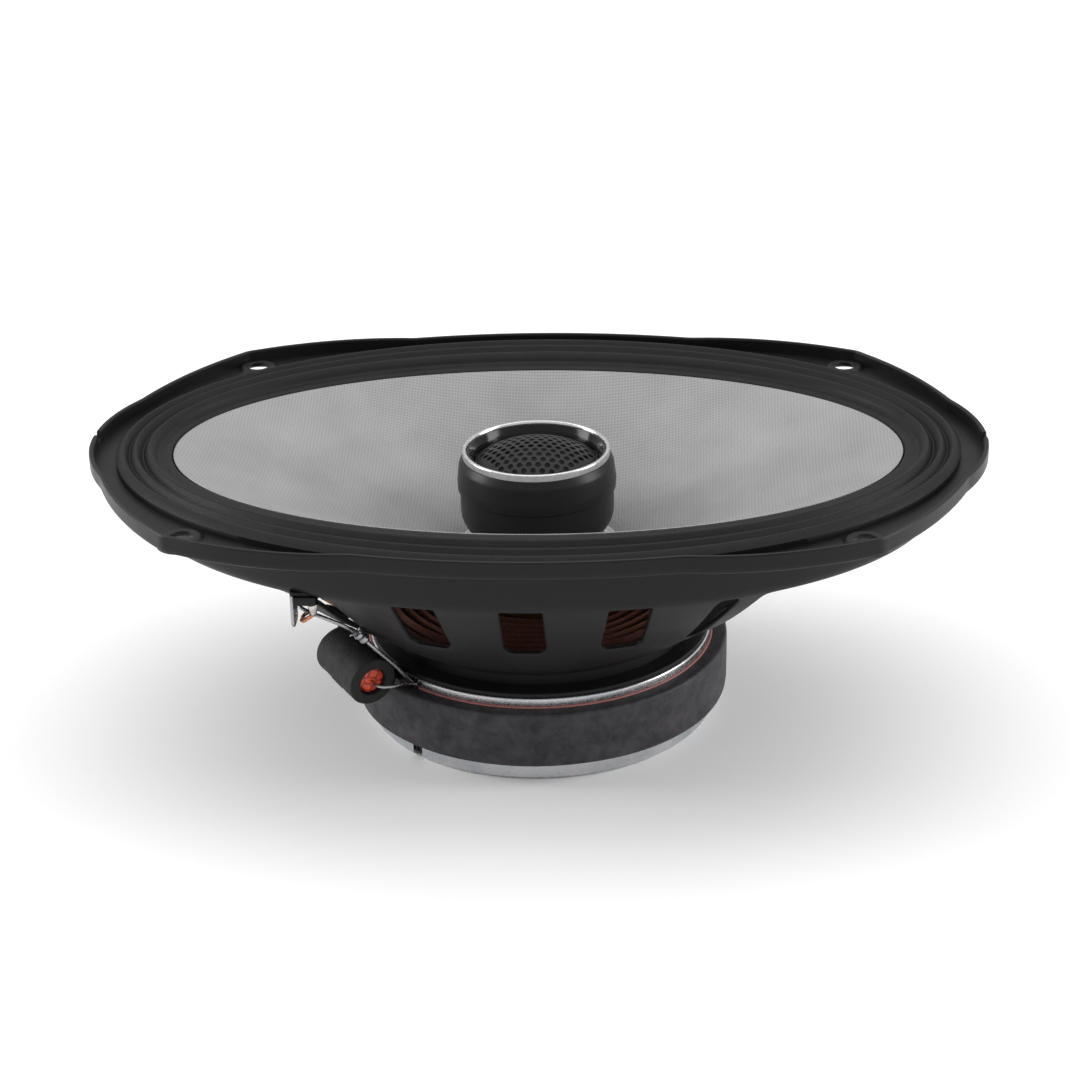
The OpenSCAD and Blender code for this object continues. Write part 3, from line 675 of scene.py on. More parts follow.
def opening_clearance(points, x, y, z):
    """Clearance to one convex plan-shaped opening in the taper, mirrored to all four corners."""
    x, y, softness, arm_foot_r, top = np.abs(x), np.abs(y), 0.9, 47.6, 56.9
    total = np.exp((arm_foot_r - np.hypot(x, y)) / softness) + np.exp((z - top) / softness)
    centre = np.mean(points, axis=0)
    for p, q in zip(points, points[1:] + points[:1]):
        nx, ny = q[1] - p[1], p[0] - q[0]
        size = math.hypot(nx, ny)
        nx, ny = nx / size, ny / size
        if (centre[0] - p[0]) * nx + (centre[1] - p[1]) * ny > 0:
            nx, ny = -nx, -ny
        total = total + np.exp(((x - p[0]) * nx + (y - p[1]) * ny) / softness)
    return softness * np.log(total)


def window_clearance(x, y, z, tilt, side):
    """Clearance to one rounded window in a long side."""
    turn = math.radians(tilt)
    x, y = side * x - tilt * 1.08, side * y
    across, depth = x * math.cos(turn) + y * math.sin(turn), -x * math.sin(turn) + y * math.cos(turn)
    half, low, top, r = 5.3, 39.4, 57.2, 2.4
    qx, qz = np.abs(across) - (half - r), low + r - z
    box = np.where((qx > 0) & (qz > 0), np.hypot(qx, qz), np.maximum(qx, qz)) - r
    return np.maximum(np.maximum(box, z - top), depth + 44)


def rails(points, roundings, spacing):
    """Stations of a sheet between rings of corner points, each corner rounded by its tangent length."""
    stations = []
    for k, here in enumerate(points):
        reach = roundings[k]
        if reach:
            ahead, behind = points[k + 1] - here, points[k - 1] - here
            start = here + behind / np.linalg.norm(behind, axis=1)[:, None] * reach
            end = here + ahead / np.linalg.norm(ahead, axis=1)[:, None] * reach
        else:
            start = end = here
        if stations:
            run = np.linalg.norm(start - stations[-1], axis=1).mean()
            count = max(1, round(run / spacing[k - 1]))
            last = stations[-1]
            stations += [last + (start - last) * i / count for i in range(1, count)]
        steps = 6 if reach else 0
        stations += [(1 - u) ** 2 * start + 2 * u * (1 - u) * here + u * u * end
                     for u in ([i / steps for i in range(steps + 1)] if steps else [0])]
    return np.stack(stations, 1)


class SPEAKER_OT_frame(bpy.types.Operator):
    """Presses the oval frame: flange and lip, shoulder, windows, arms, neck, pads and the terminal tab"""
    bl_idname = "speaker.frame"
    bl_label = "Pressed frame"

    def execute(self, context):
        turns, sheet = 960, context.scene.speaker_sizes.sheet / MM
        line = flange_outline(turns)
        t = 2 * np.pi * np.arange(turns) / turns
        # Polar angle of each outline point gives its place on the shoulder's ovals
        t = np.arctan2(np.sin(t) * SHOULDER_TOP[0], np.cos(t) * SHOULDER_TOP[1])

        def ring(a, b, z):
            return np.stack([a * np.cos(t), b * np.sin(t), np.full(turns, float(z))], 1)
        rim = np.concatenate([line, np.full((turns, 1), FLANGE_UNDER)], 1)
        top = np.concatenate([line, np.full((turns, 1), LIP_TOP)], 1)
        rings = [ring(NECK_R, NECK_R, SEAT_Z + 0.6), ring(NECK_R, NECK_R, 28.3), ring(SHELF_R, SHELF_R, SHELF_Z),
                 ring(*SHOULDER_LOW, CREASE), ring(*SHOULDER_TOP, FLANGE_UNDER), rim, top]
        outer = rails(rings, [0, 1.6, 1.8, 2.0, 1.3, 1.5, 0], [1.2, 1.2, 0.75, 1.1, 1.1, 0.7])
        around = np.roll(outer, -1, 0) - np.roll(outer, 1, 0)
        inward = np.cross(np.gradient(outer, axis=1), around)
        inward /= np.linalg.norm(inward, axis=2)[..., None]
        x, y, z = np.moveaxis(outer, 2, 0)
        far = 9.0
        clear = np.full(x.shape, far)
        for plan in ([(39, 39), (49.8, 62), (55.4, 59.4), (41, 34)],
                     [(45, 31), (61, 56.5), (70, 53), (85, 42), (97, 20), (97, 15), (50, 15)]):
            clear = np.minimum(clear, opening_clearance(plan, x, y, z))
        for side in (1, -1):
            for tilt in (-12, 0, 12):
                clear = np.minimum(clear, window_clearance(x, y, z, tilt, side))
        floor = (z < FLANGE_FLOOR) & (z > CREASE)
        for px, py in PADS:
            clear = np.where(floor, np.minimum(clear, np.hypot(x - px, y - py) - PAD_LOW_R + 0.6), clear)
        clear = np.where(z > FLANGE_FLOOR, np.minimum(clear, LIP_TOP - z), clear)
        notch_y, notch_half, notch_low, end_x = 1.6, 1.3, 74.4, 100
        notch = np.maximum(np.abs(y - notch_y) - notch_half, notch_low - z)
        clear = np.where((np.abs(x) > end_x) & (z > FLANGE_FLOOR), np.minimum(clear, notch), clear)
        low, high = BOARD - Vector((1.1, 0.3, 1.7)), BOARD + BOARD_SIZE + Vector((0.3, 0.3, 0.05))
        relief = np.maximum(np.maximum(low.x - x, x - high.x), np.maximum(low.y - y, y - high.y))
        relief = np.maximum(relief, np.maximum(low.z - z, z - high.z))
        clear = np.minimum(clear, np.where(z < CREASE - 0.8, relief, far))
        form = Form()
        Sheet(outer, inward, clear).thicken(form, sheet, 0.35)
        form.turned(
            [(30, SEAT_Z, 0.3), (45.5, SEAT_Z, 0.3), (45.5, SEAT_Z + sheet, 0.5),
             (NECK_R - 0.2, SEAT_Z + sheet), (NECK_R - sheet, SEAT_Z + 2.2),
             (NECK_R - sheet - 0.6, SEAT_Z + sheet), (30, SEAT_Z + sheet, 0.4)], 256, 3)
        for px, py in PADS:
            form.at(Matrix.Translation((px, py, 0))).turned(
                [(PAD_HOLE_R, PAD_TOP - sheet, 0.2), (PAD_TOP_R - 0.8, PAD_TOP - sheet, 0.5),
                 (PAD_LOW_R - 1.4, FLANGE_UNDER), (PAD_LOW_R - 0.2, FLANGE_UNDER),
                 (PAD_LOW_R, FLANGE_FLOOR + 0.02), (PAD_LOW_R - 0.9, FLANGE_FLOOR + 0.12, 0.6),
                 (PAD_TOP_R, PAD_TOP, 0.9), (PAD_HOLE_R, PAD_TOP, 0.4)], 72)
        x0, y0, z0 = BOARD.x - 1, BOARD.y + 0.6, BOARD.z + BOARD_SIZE.z
        tab = rounded([(x0, y0, 1.5), (x0 + BOARD_SIZE.x + 6, y0, 0.5), (x0 + BOARD_SIZE.x + 6, y0 + 20.4, 0.5),
                       (x0, y0 + 20.4, 1.5)], True)
        form.at(Matrix.Identity(4)).slab(tab, z0, z0 + 1.1, 0.25)
        form.build("pressed_frame", "frame_paint", FRAME, ["basket"], crease=32)
        return {"FINISHED"}


# ---- Cone, surround and spider ----

def cone_oval(t):
    """Half length, half width and height of the cone's upper face, t from 0 at the neck to 1 at the edge."""
    neck = FORMER_R + 0.8
    return (neck + t * (CONE_EDGE[0] - neck), neck + t * (CONE_EDGE[1] - neck),
            CONE_NECK_Z + (CONE_EDGE_Z - CONE_NECK_Z) * t ** 0.85)


def oval_distance(x, y, half):
    """How far a point lies outside the oval with these half sizes, measured as the rings are spaced."""
    low, high = np.full(len(x), -half[1] + 1), np.full(len(x), 30.0)
    for _ in range(30):
        mid = (low + high) / 2
        side = mid * np.where(mid > STRETCH_FROM, ROLL_STRETCH, 1)
        outside = (x / (half[0] + mid)) ** 2 + (y / (half[1] + side)) ** 2 > 1
        low, high = np.where(outside, mid, low), np.where(outside, high, mid)
    return low


def join_bodies(piece, held, free, distance):
    """Bakes a ring-shaped piece's placement into its points and works out, by its distance, a weight from held to
    free between the frame and a moving body; nothing uses the weight.
    """
    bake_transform(piece)
    co = np.array([v.co for v in piece.data.vertices]) / MM
    weight = smooth_step(held, free, distance(co))


class SPEAKER_OT_surround(bpy.types.Operator):
    """Moulds the rubber roll surround with its ridges and flat landing"""
    bl_idname = "speaker.surround"
    bl_label = "Rubber surround"

    def execute(self, context):
        glued = [(-1.6, -2.35), (0, -1.25), (0.35, -0.5), (0.55, -0.1), (0.95, 0.1)]
        top = spline([(0.95, 0.1), (2.4, 0.05), (3.9, 0.1), (4.8, 1.3), (6.0, 2.3), (7.0, 1.4), (7.8, 0.5),
                      (8.7, 1.4), (9.7, 2.4), (10.6, 1.6), (11.3, 0.9), (12, 1.6), (12.9, 2.4), (13.9, 1.8),
                      (14.8, 0.9)], 5)
        under = spline([(12.3, -0.7), (11.3, -0.1), (9.7, 1.3), (7.8, -0.5), (6.0, 1.2), (4.4, -0.4), (2.4, -1.0),
                        (0.5, -1.5), (-1.6, -2.9)], 5)
        section = glued[:-1] + [tuple(p) for p in top] + [(14.8, -0.7)] + [tuple(p) for p in under]
        form = Form().oval([(d, CONE_EDGE_Z + z) for d, z in section], CONE_EDGE, 360)
        piece = form.build("rubber_surround", "surround_rubber", None, ["surround"], crease=50)
        join_bodies(piece, 11.8, 0.6, lambda co: oval_distance(co[:, 0], co[:, 1], CONE_EDGE))
        return {"FINISHED"}


class SPEAKER_OT_cone(bpy.types.Operator):
    """Lays up the woven cone and its glued neck collar"""
    bl_idname = "speaker.cone"
    bl_label = "Woven cone"

    def execute(self, context):
        wall, unit = 0.9, circle(320)

        def row(t, lift):
            a, b, z = cone_oval(t)
            return [(a * c, b * s, z + lift) for c, s in unit]
        steps = [0, 0.015] + [0.03 + 0.945 * i / 30 for i in range(31)] + [0.985, 0.994, 1.0]
        lift = {0.994: 0.0, 1.0: -0.25}
        rows = [row(t, lift.get(t, 0)) for t in steps] + [row(t, -wall) for t in reversed(steps[::2])]
        Form().loop(rows).build("woven_cone", "cone_weave", CONE, ["cone"])
        r0, z0 = FORMER_R + 0.15, CONE_NECK_Z
        collar = Form().turned(
            [(r0, z0 - 3, 0.2), (r0 + 0.7, z0 - 2.6, 0.3), (r0 + 2.2, z0 - 1.05, 0.2), (r0 + 0.5, z0 - 0.7),
             (r0 + 0.5, z0 + 0.1), (r0 + 1.5, z0 + 0.85), (r0 + 2.2, z0 + 1.42, 0.3),
             (r0 + 2.0, z0 + 1.75, 0.3), (r0 + 0.9, z0 + 1.05, 0.5), (r0 + 0.1, z0 + 1.0, 0.3)], 192, 3)
        collar.build("neck_collar", "collar_resin", CONE, ["cone_collar"])
        return {"FINISHED"}


class SPEAKER_OT_spider(bpy.types.Operator):
    """Presses the corrugated cloth spider"""
    bl_idname = "speaker.spider"
    bl_label = "Cloth spider"

    def execute(self, context):
        inner, rim, waves, wave_h, cloth, steps = FORMER_R + 0.5, 3, 7, 1.1, 0.5, 150
        span = SPIDER_R - rim - inner - 2
        top = [(inner + 2 + span * i / steps, SPIDER_Z + wave_h * math.sin(2 * math.pi * waves * i / steps))
               for i in range(steps + 1)]
        line = [(inner, SPIDER_Z)] + top + [(SPIDER_R, SHELF_Z + 1.1), (SPIDER_R, SHELF_Z + 0.6)]
        line += [(r, z - cloth) for r, z in reversed(top)] + [(inner, SPIDER_Z - cloth)]
        piece = Form().lathe(line, 240).build("cloth_spider", "spider_cloth", None, ["spider"], crease=60)
        join_bodies(piece, SPIDER_R - rim, inner + 1.5, from_axis)
        return {"FINISHED"}


# ---- Motor ----

class SPEAKER_OT_motor(bpy.types.Operator):
    """Turns the plated top plate, the rubber boot and the adhesive between them"""
    bl_idname = "speaker.motor"
    bl_label = "Motor"

    def execute(self, context):
        bore, rim, low = 20.8, 45.8, 17.0
        plate = Form().turned([(bore, low, 0.2), (rim, low, 0.2), (rim, SEAT_Z, 0.55), (bore, SEAT_Z, 0.3)], 256)
        plate.build("top_plate", "zinc_plate", FRAME)
        boot = Form().turned(
            [(47.2, 5.42, 0.2), (49.9, 5.42, 0.9), (50.1, 7.0), (50.2, 9.5), (50.3, 16), (50.35, 20.65, 1.1),
             (46.42, 20.65, 0.35), (46.42, 19.05, 0.3), (47.2, 18.65)], 288, 6)

        def soft(co):
            turn = np.arctan2(co[:, 1], co[:, 0])
            lump = 0.05 * np.sin(turn * 7 + 1.2) + 0.04 * np.sin(turn * 12 + co[:, 2] * 0.2) - 0.09
            outer = smooth_step(48.5, 50, from_axis(co))
            shift = (lump * outer)[:, None] * np.stack([np.cos(turn), np.sin(turn), 0 * turn], 1)
            return co + shift
        boot.warp(soft).build("magnet_boot", "boot_rubber", FRAME)
        bead_line = [(45.82, 19.45, 0.1), (46.4, 19.45, 0.1), (46.4, 20.85, 0.2), (45.82, 20.85, 0.2)]
        Form().turned(bead_line, 256, 3).build("boot_adhesive", "pink_adhesive", FRAME)
        wire_bore, foot, foot_top, stem, top = 2.2, 13, SEAT_Z + 3, 7.5, 48.2
        post = Form().turned(
            [(wire_bore, 2.4, 0.2), (4.6, 2.4, 0.3), (4.6, SEAT_Z), (foot, SEAT_Z, 0.2),
             (foot, foot_top, 1.0), (stem, foot_top, 0.8), (stem, top, 0.4), (wire_bore, top, 0.2)], 96)
        post.build("tweeter_post", "black_plastic", FRAME, ["post"])
        return {"FINISHED"}


# ---- Tweeter ----

class SPEAKER_OT_tweeter(bpy.types.Operator):
    """Moulds the tweeter housing, trim ring, bezel, perforated grille and silk dome"""
    bl_idname = "speaker.tweeter"
    bl_label = "Tweeter"

    def execute(self, context):
        bend = [(12 + 8.3 * math.sin(t), 57 - 8.3 * math.cos(t)) for t in np.linspace(0.02, math.pi / 2, 16)]
        outer = [(2.2, 48.4, 0.2), (7.0, 48.4, 0.3), (8.3, 48.72, 1.0)] + bend
        outer += [(20.3, 62.2, 0.3), (20.85, 62.7, 0.35), (21.0, 65, 3), (20.45, 69.6, 3), (19.45, 71.6, 0.2),
                  (18.32, 71.6), (18.32, 66), (16.4, 66), (16.4, 57.2), (2.2, 57.2)]
        Form().turned(outer, 224).build("tweeter_housing", "black_plastic", FRAME, crease=30)
        trim = Form().turned(
            [(18.32, 71.65), (19.4, 71.65, 0.1), (19.4, 73.5, 0.4), (18.5, 73.5, 0.4), (18.32, 72.9, 0.1)], 224)
        trim.build("trim_ring", "trim_silver", FRAME)
        bezel = Form().turned(
            [(14.6, 66, 0.1), (18.28, 66, 0.1), (18.28, 72.8, 0.2), (17.8, 72.9, 0.2), (16.8, 71.3, 0.6),
             (16.1, 69.4, 0.2), (14.6, 69.3, 0.1)], 224)
        bezel.build("tweeter_bezel", "bezel_plastic", FRAME)
        self.grille(context.scene.speaker_sizes)
        self.dome()
        return {"FINISHED"}

    def grille(self, sizes):
        """Domed sheet with round holes in close packed rows."""
        rim, rise, rim_z, wall, step = 15.75, 4.6, 70.3, 0.5, 0.21
        ball = ball_radius(rim, rise)
        centre = rim_z + rise - ball
        pitch, hole = sizes.hole_pitch / MM, sizes.hole_radius / MM
        count = round(2 * (rim + 1) / step)
        x, y = np.meshgrid(*[np.linspace(-rim - 1, rim + 1, count + 1)] * 2, indexing="ij")
        z = np.sqrt(ball * ball - x * x - y * y)
        outer = np.stack([x, y, z + centre], 2)
        inward = -np.stack([x, y, z], 2) / ball
        clear = np.minimum(rim - np.hypot(x, y), 4)
        for i in range(-6, 7):
            for j in range(-7, 8):
                hx, hy = pitch * (i + (abs(j) % 2) / 2), pitch * j * 0.866
                if math.hypot(hx, hy) < rim - 1.3:
                    clear = np.minimum(clear, np.hypot(x - hx, y - hy) - hole)
        form = Form()
        Sheet(outer, inward, clear, wrap=False).thicken(form, wall, 0.14)
        form.build("tweeter_grille", "grille_paint", FRAME)

    def dome(self):
        rim, rise, z0, wall = 12.5, 3.8, 67.5, 0.25
        ball = ball_radius(rim, rise)
        arc = [math.asin(rim / ball) * k / 20 for k in range(20, -1, -1)]
        shell = [(ball * math.sin(t), z0 + rise - ball + ball * math.cos(t)) for t in arc[:-1]] + [(0.03, z0 + rise)]
        line = [(r, z - wall) for r, z in reversed(shell)]
        Form().lathe(shell + line, 96).build("silk_dome", "dome_silk", DOME, ["tweeter_dome"])
        roll = spline([(12.95, 67.5), (13.4, 68.1), (14.0, 68.1), (14.6, 67.5)], 6)
        lower = spline([(14.6, 67.25), (13.9, 67.8), (13.5, 67.8), (12.95, 67.2)], 6)
        piece = Form().lathe([tuple(p) for p in roll + lower], 96).build(
            "dome_suspension", "dome_silk", None, ["tweeter_suspension"])
        join_bodies(piece, 14.4, 13.1, from_axis)


# ---- Crossover, terminals and leads ----

def cap_place():
    """Where the capacitor lies: its own Z runs along it, from its near end."""
    return (Matrix.Translation((CAP_OFF * math.cos(CAP_ANGLE), CAP_OFF * math.sin(CAP_ANGLE), CAP_Z))
            @ Matrix.Rotation(CAP_ANGLE, 4, "Z") @ Matrix.Rotation(-math.pi / 2 - CAP_TILT, 4, "X"))


class SPEAKER_OT_crossover(bpy.types.Operator):
    """Builds the foam-sleeved capacitor and its two leads"""
    bl_idname = "speaker.crossover"
    bl_label = "Crossover capacitor"

    def execute(self, context):
        place, half = cap_place(), SLEEVE_LEN / 2
        line = rounded([(CORE_R + 0.05, -half, 0.25), (SLEEVE_R - 0.08, -half, 0.7), (SLEEVE_R - 0.1, -2.4, 0.8),
                        (SLEEVE_R - 0.02, -1.8, 0.5), (SLEEVE_R - 0.02, 2.2, 0.5), (SLEEVE_R - 0.12, 2.8, 0.8),
                        (SLEEVE_R - 0.1, half, 0.7), (CORE_R + 0.05, half, 0.25)], True, 5)
        dense = []
        for (r0, z0), (r1, z1) in zip(line, line[1:] + line[:1]):
            cuts = max(1, round(math.hypot(r1 - r0, z1 - z0) / 0.6))
            dense += [(r0 + (r1 - r0) * k / cuts, z0 + (z1 - z0) * k / cuts) for k in range(cuts)]

        def crumple(amount, seed, size):
            def change(co):
                local = co @ np.array(place.inverted().to_3x3()).T
                axis = np.array(place.translation)
                along = np.array(place.to_3x3().col[2])
                spoke = co - axis - ((co - axis) @ along)[:, None] * along
                spoke /= np.maximum(np.linalg.norm(spoke, axis=1), 1e-6)[:, None]
                return co + spoke * (ripple(local, size, amount, seed) - amount)[:, None]
            return change
        Form().at(place).lathe(dense, 128).warp(crumple(0.05, 3, 3.0)).build(
            "capacitor_sleeve", "sleeve_foam", FRAME, crease=50)
        core = [(0.05, -half + 0.75)]
        core += [(CORE_R * k / 10, -half + 0.75 + 0.1 * math.sin(k * 1.9)) for k in range(2, 9)]
        core += [(3.35, -half + 0.85), (3.65, -half + 1.2)]
        core += [(3.68, -half + 1.2 + (2 * half - 2.6) * k / 24) for k in range(1, 25)]
        core += [(3.3, half - 1.0), (2.2, half - 0.75), (0.05, half - 0.7)]
        Form().at(place).lathe(core, 96, closed=False).warp(crumple(0.07, 8, 1.5)).build(
            "capacitor_core", "capacitor_resin", FRAME, ["capacitor"], crease=70)
        self.leads()
        return {"FINISHED"}

    def leads(self):
        far = [(-51.1, -26.3, 27.2), (-52.4, -23.8, 28.4), (-50.5, -24.2, 33.2), (-48.5, -28.5, 38),
               (-52, -36, 44), (-55.6, -46, 47.2), (-55.4, -54, 48.8), (-52.2, -56.6, 51.9)]
        path = spline(far, 10)
        sleeve = [0.7 - 0.03 * (k % 2) for k in range(len(path))]
        Form().tube(path[:50], sleeve[:50]).build("capacitor_input_sleeve", "wire_cover", FRAME,
                                                  ["capacitor_input_lead"])
        twist, third = Form(), 2.094
        for strand in range(3):
            turn = [strand * third + k * 0.55 for k in range(len(path[48:]))]
            twist.tube([p + 0.34 * Vector((math.cos(a), math.sin(a), 0.3 * math.sin(a * 2)))
                        for p, a in zip(path[48:], turn)], 0.33, 8)
        twist.build("capacitor_input_twist", "copper_braid", FRAME, ["capacitor_input_lead"])
        near = [(-40.7, -40.7, 25), (-38.6, -42.9, 24.8), (-35.4, -42.4, 24.6), (-32.6, -39, 23.6),
                tuple(groove_point(46.9, 0.8, 21.8))]
        Form().tube(spline(near, 10), 0.44).build("capacitor_output_lead", "tinned_metal", FRAME,
                                                  ["capacitor_output_lead"])


def groove_point(r, side, z):
    """Point beside the groove that the tweeter's wires run along."""
    return GROOVE * r + Vector((-GROOVE.y, GROOVE.x, 0)) * side + Vector((0, 0, z))


class SPEAKER_OT_terminals(bpy.types.Operator):
    """Stamps the terminal board, the two blades, their rivets and the solder"""
    bl_idname = "speaker.terminals"
    bl_label = "Terminals"

    def execute(self, context):
        x0, y0, z0 = BOARD
        x1, y1, z1 = BOARD + BOARD_SIZE
        outline = rounded([(x0, y0, 0.6), (x1, y0, 0.6), (x1, y1, 0.6), (x0, y1, 0.6)], True)
        Form().slab(outline, z0, z1, 0.2).build("terminal_board", "board_plastic", FRAME)
        for name, width, start in (("positive_blade", 6.3, 1), ("negative_blade", 4.8, 13)):
            self.blade(name, width, y0 + start)
        rivets = Form()
        for y in (6, 17):
            rivets.at(Matrix.Translation((x0 + BOARD_SIZE.x / 2 + 1, y0 + y, 0))).lathe(
                [(0.02, z0 - 0.6)] + rounded(
                    [(1.5, z0 - 0.6, 0.3), (2, z0 - 0.3, 0.3), (2, z0), (1.2, z0), (1.2, z1 + 1.1), (2, z1 + 1.1),
                     (2, z1 + 1.45, 0.3), (1.4, z1 + 1.7, 0.3)], False, 4) + [(0.02, z1 + 1.7)], 40, closed=False)
        rivets.build("terminal_rivets", "rivet_steel", FRAME)
        solder = Form()
        for x, y in ((-52.2, -56.6), (-55.4, -45.6)):
            drop = [(1.45, z0), (1.3, z0 - 0.5), (1.25, z0 - 1.1), (1.0, z0 - 1.8), (0.8, z0 - 2.5), (0.5, z0 - 3.0),
                    (0.05, z0 - 3.1)]
            solder.at(Matrix.Translation((x, y, 0))).lathe([(0.05, z0)] + drop, 32, closed=False)
        solder.warp(lambda co: co + 0.12 * np.sin(co[:, [1, 2, 0]] * 2.3)).build(
            "solder_joints", "solder", FRAME, crease=60)
        return {"FINISHED"}

    def blade(self, name, width, start):
        """Flat blade with a pointed tip and a latch hole, hanging from the board."""
        low, high, tip = BOARD.z - 6.8, BOARD.z + BOARD_SIZE.z, 1.2
        hole_y, hole_z = start + width / 2, BOARD.z - 4.0
        ys, zs = np.meshgrid(np.linspace(start, start + width, 43), np.linspace(low, high, 61), indexing="ij")
        side = np.minimum(ys - start, start + width - ys)
        clear = np.minimum(side, (side + (zs - low) - tip) * 0.7071)
        clear = np.minimum(clear, np.minimum(zs - low, high - zs))
        clear = np.minimum(clear, np.hypot(ys - hole_y, zs - hole_z) - 0.8)
        outer = np.stack([np.full(ys.shape, BOARD.x - 0.8), ys, zs], 2)
        inward = np.zeros(outer.shape)
        inward[..., 0] = 1
        form = Form()
        Sheet(outer, inward, clear - 1e-4, wrap=False).thicken(form, 0.8, 0.15)
        form.build(name, "tinned_metal", FRAME, [name.replace("blade", "terminal")])


class SPEAKER_OT_leads(bpy.types.Operator):
    """Lays the braided leads to the cone and the tweeter's crimped lead"""
    bl_idname = "speaker.leads"
    bl_label = "Leads"

    def execute(self, context):
        wanted = context.scene.speaker_sizes.strands
        eyelet_place, eyelet_drop = 0.16, 3.45
        ends = [[(-52.6, -48.8, 54), (-45, -43.4, 47.4), (-36, -28, 44)],
                [(-52.6, -38.6, 54), (-45, -33, 47), (-36, -20, 44)]]
        braids = Form()
        for points, angle in zip(ends, (222, 205)):
            turn, (a, b, z) = math.radians(angle), cone_oval(eyelet_place)
            last = Vector((a * math.cos(turn), b * math.sin(turn), z - eyelet_drop))
            path = spline(points + [last], 26)
            for strand in range(wanted):
                turn = [strand * 2 * math.pi / wanted + k * 0.42 for k in range(len(path))]
                braids.tube([p + 0.4 * Vector((0.7 * math.cos(u), -0.7 * math.cos(u) * 0.6, math.sin(u)))
                             for p, u in zip(path, turn)], 0.26, 7)
        piece = braids.build("tinsel_leads", "copper_braid", None, ["tinsel_leads"])
        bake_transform(piece)
        wire = [groove_point(46.9, -0.8, 21.8), (-34.2, -38.6, 28), (-39.2, -43.6, 36), (-42.3, -44.7, 40),
                (-45.5, -50.2, 45.5), (-50, -52, 48.6), (-54.8, -50.4, 49.8), (-57.5, -48, 50.8),
                (-55.4, -45.6, 51.9)]
        path = spline(wire, 9)
        crimp = Form().tube(path, 0.52)
        aim = Vector(path[30]) - Vector(path[24])
        turn = aim.to_track_quat("Z", "Y").to_matrix().to_4x4()
        crimp.at(Matrix.Translation((-42.3, -44.7, 40)) @ turn)
        crimp.lathe([(0.4, -2.0)] + rounded([(1.15, -2.0, 0.2), (1.45, -1.2, 0.4), (1.1, 0, 0.8), (1.45, 1.2, 0.4),
                                             (1.15, 2.0, 0.2)], False, 4) + [(0.4, 2.0)], 20, closed=False)
        for k in range(5):
            a = 2 * math.pi * k / 5 + 0.3
            tip = Vector((2.0 * math.cos(a), 2.0 * math.sin(a), 2.4 + 0.3 * math.sin(3 * a)))
            root = (0.6 * math.cos(a), 0.6 * math.sin(a), 1.4)
            crimp.tube(spline([root, tip * 0.62 + Vector((0, 0, 1.0)), tip], 4),
                       [0.3, 0.3, 0.29, 0.27, 0.25, 0.22, 0.18, 0.14, 0.08], 6)
        crimp.build("lead_crimp", "tinned_metal", FRAME)
        return {"FINISHED"}


class SPEAKER_OT_inner(bpy.types.Operator):
    """Gives the inner parts that keep their machined shape their finishes"""
    bl_idname = "speaker.inner"
    bl_label = "Inner parts"

    def execute(self, context):
        kinds = finishes()
        for name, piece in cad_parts.items():
            for slot in piece.material_slots:
                key = slot.material.name.split(".")[0]
                if key not in kinds:
                    raise RuntimeError(f"{name} has no finish: {key}")
                slot.material = kinds[key]
        return {"FINISHED"}


# ---- Studio ----

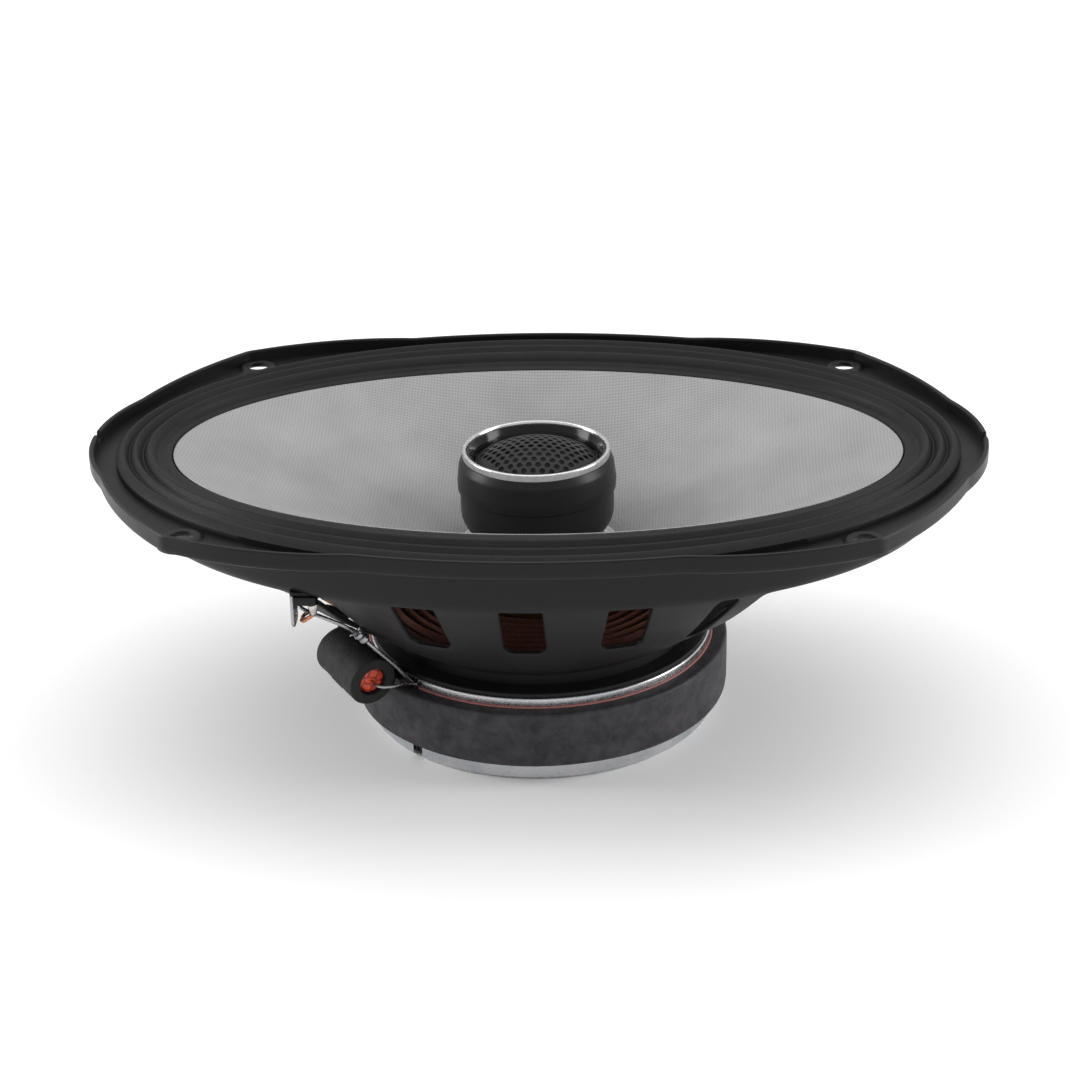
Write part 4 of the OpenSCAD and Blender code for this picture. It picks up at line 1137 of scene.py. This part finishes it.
class SPEAKER_OT_studio(bpy.types.Operator):
    """Sets up the pale floor, the soft lights and the camera"""
    bl_idname = "speaker.studio"
    bl_label = "Studio"

    def execute(self, context):
        studio = context.scene.speaker_studio
        self.floor()
        self.lights(studio.light)
        self.camera(studio)
        context.scene.view_settings.view_transform = "Standard"
        return {"FINISHED"}

    def floor(self):
        r = Recipe("studio_floor", (0.96, 0.96, 0.96), Roughness=0.6, Specular_IOR_Level=0.2)
        r.paint(Base_Color=r.shades(r.noise(400, 2), 0.985, 1.0), Normal=r.bump(r.noise(3, 2), 0.01))
        mesh = bpy.data.meshes.new("floor")
        size, height = 3.0, -0.0002
        corners = [(x * size, y * size, height) for x, y in ((-1, -1), (1, -1), (1, 1), (-1, 1))]
        mesh.from_pydata(corners, [], [(0, 1, 2, 3)])
        mesh.materials.append(r.material)
        floor = bpy.data.objects.new("floor", mesh)
        bpy.context.scene.collection.objects.link(floor)

    def lights(self, strength):
        world = bpy.data.worlds.new("studio")
        world.use_nodes = True
        world.node_tree.nodes["Background"].inputs["Color"].default_value = (1, 1, 1, 1)
        world.node_tree.nodes["Background"].inputs["Strength"].default_value = 0.68 * strength
        bpy.context.scene.world = world
        for name, place, size, power in (("top", (0.0, 0.5, 1.7), (2.4, 1.6), 13.0),
                                         ("left", (-1.1, 0.05, 0.42), (0.4, 0.9), 9.0),
                                         ("right", (1.1, 0.0, 0.42), (0.4, 0.9), 9.0)):
            light = bpy.data.lights.new(name, "AREA")
            light.shape, light.size, light.size_y = "RECTANGLE", *size
            light.energy = power * strength
            lamp = bpy.data.objects.new(name, light)
            lamp.location = place
            aim = Vector((0, 0, 0.05)) - Vector(place)
            lamp.rotation_euler = aim.to_track_quat("-Z", "Y").to_euler()
            bpy.context.scene.collection.objects.link(lamp)

    def camera(self, studio):
        a, e, roll = studio.azimuth, studio.elevation, studio.roll
        back = Vector((math.sin(a) * math.cos(e), -math.cos(a) * math.cos(e), math.sin(e)))
        level = Vector((math.cos(a), math.sin(a), 0))
        upright = back.cross(level)
        right = level * math.cos(roll) + upright * math.sin(roll)
        up = back.cross(right)
        data = bpy.data.cameras.new("camera")
        data.sensor_width, data.lens = 36, studio.lens
        data.clip_end = 20
        camera = bpy.data.objects.new("camera", data)
        place = Vector((0.00042, 0, 0.04672)) + back * studio.distance
        camera.matrix_world = Matrix.Translation(place) @ Matrix((right, up, back)).transposed().to_4x4()
        bpy.context.scene.collection.objects.link(camera)
        bpy.context.scene.camera = camera


OPERATORS = (SPEAKER_OT_frame, SPEAKER_OT_surround, SPEAKER_OT_cone, SPEAKER_OT_spider, SPEAKER_OT_motor,
             SPEAKER_OT_tweeter, SPEAKER_OT_crossover, SPEAKER_OT_terminals, SPEAKER_OT_leads, SPEAKER_OT_inner,
             SPEAKER_OT_studio)


class SPEAKER_PT_panel(bpy.types.Panel):
    """Buttons that build the speaker, and the values that shape it"""
    bl_idname = "SPEAKER_PT_panel"
    bl_label = "Coaxial Speaker"
    bl_space_type = "VIEW_3D"
    bl_region_type = "UI"
    bl_category = "Speaker"

    def draw(self, context):
        for kind in OPERATORS:
            self.layout.operator(kind.bl_idname)
        for group in (context.scene.speaker_finish, context.scene.speaker_sizes, context.scene.speaker_studio):
            box = self.layout.box()
            for key in group.__annotations__:
                box.prop(group, key)


GROUPS = {"speaker_finish": SpeakerFinish, "speaker_sizes": SpeakerSizes, "speaker_studio": SpeakerStudio}
CLASSES = (*GROUPS.values(), *OPERATORS, SPEAKER_PT_panel)


def register():
    for kind in CLASSES:
        bpy.utils.register_class(kind)
    for name, kind in GROUPS.items():
        setattr(bpy.types.Scene, name, PointerProperty(type=kind))


def unregister():
    for name in GROUPS:
        delattr(bpy.types.Scene, name)
    for kind in reversed(CLASSES):
        bpy.utils.unregister_class(kind)


def main():
    register()
    for kind in OPERATORS:
        group, name = kind.bl_idname.split(".")
        getattr(getattr(bpy.ops, group), name)()


if __name__ == "__main__":
    main()
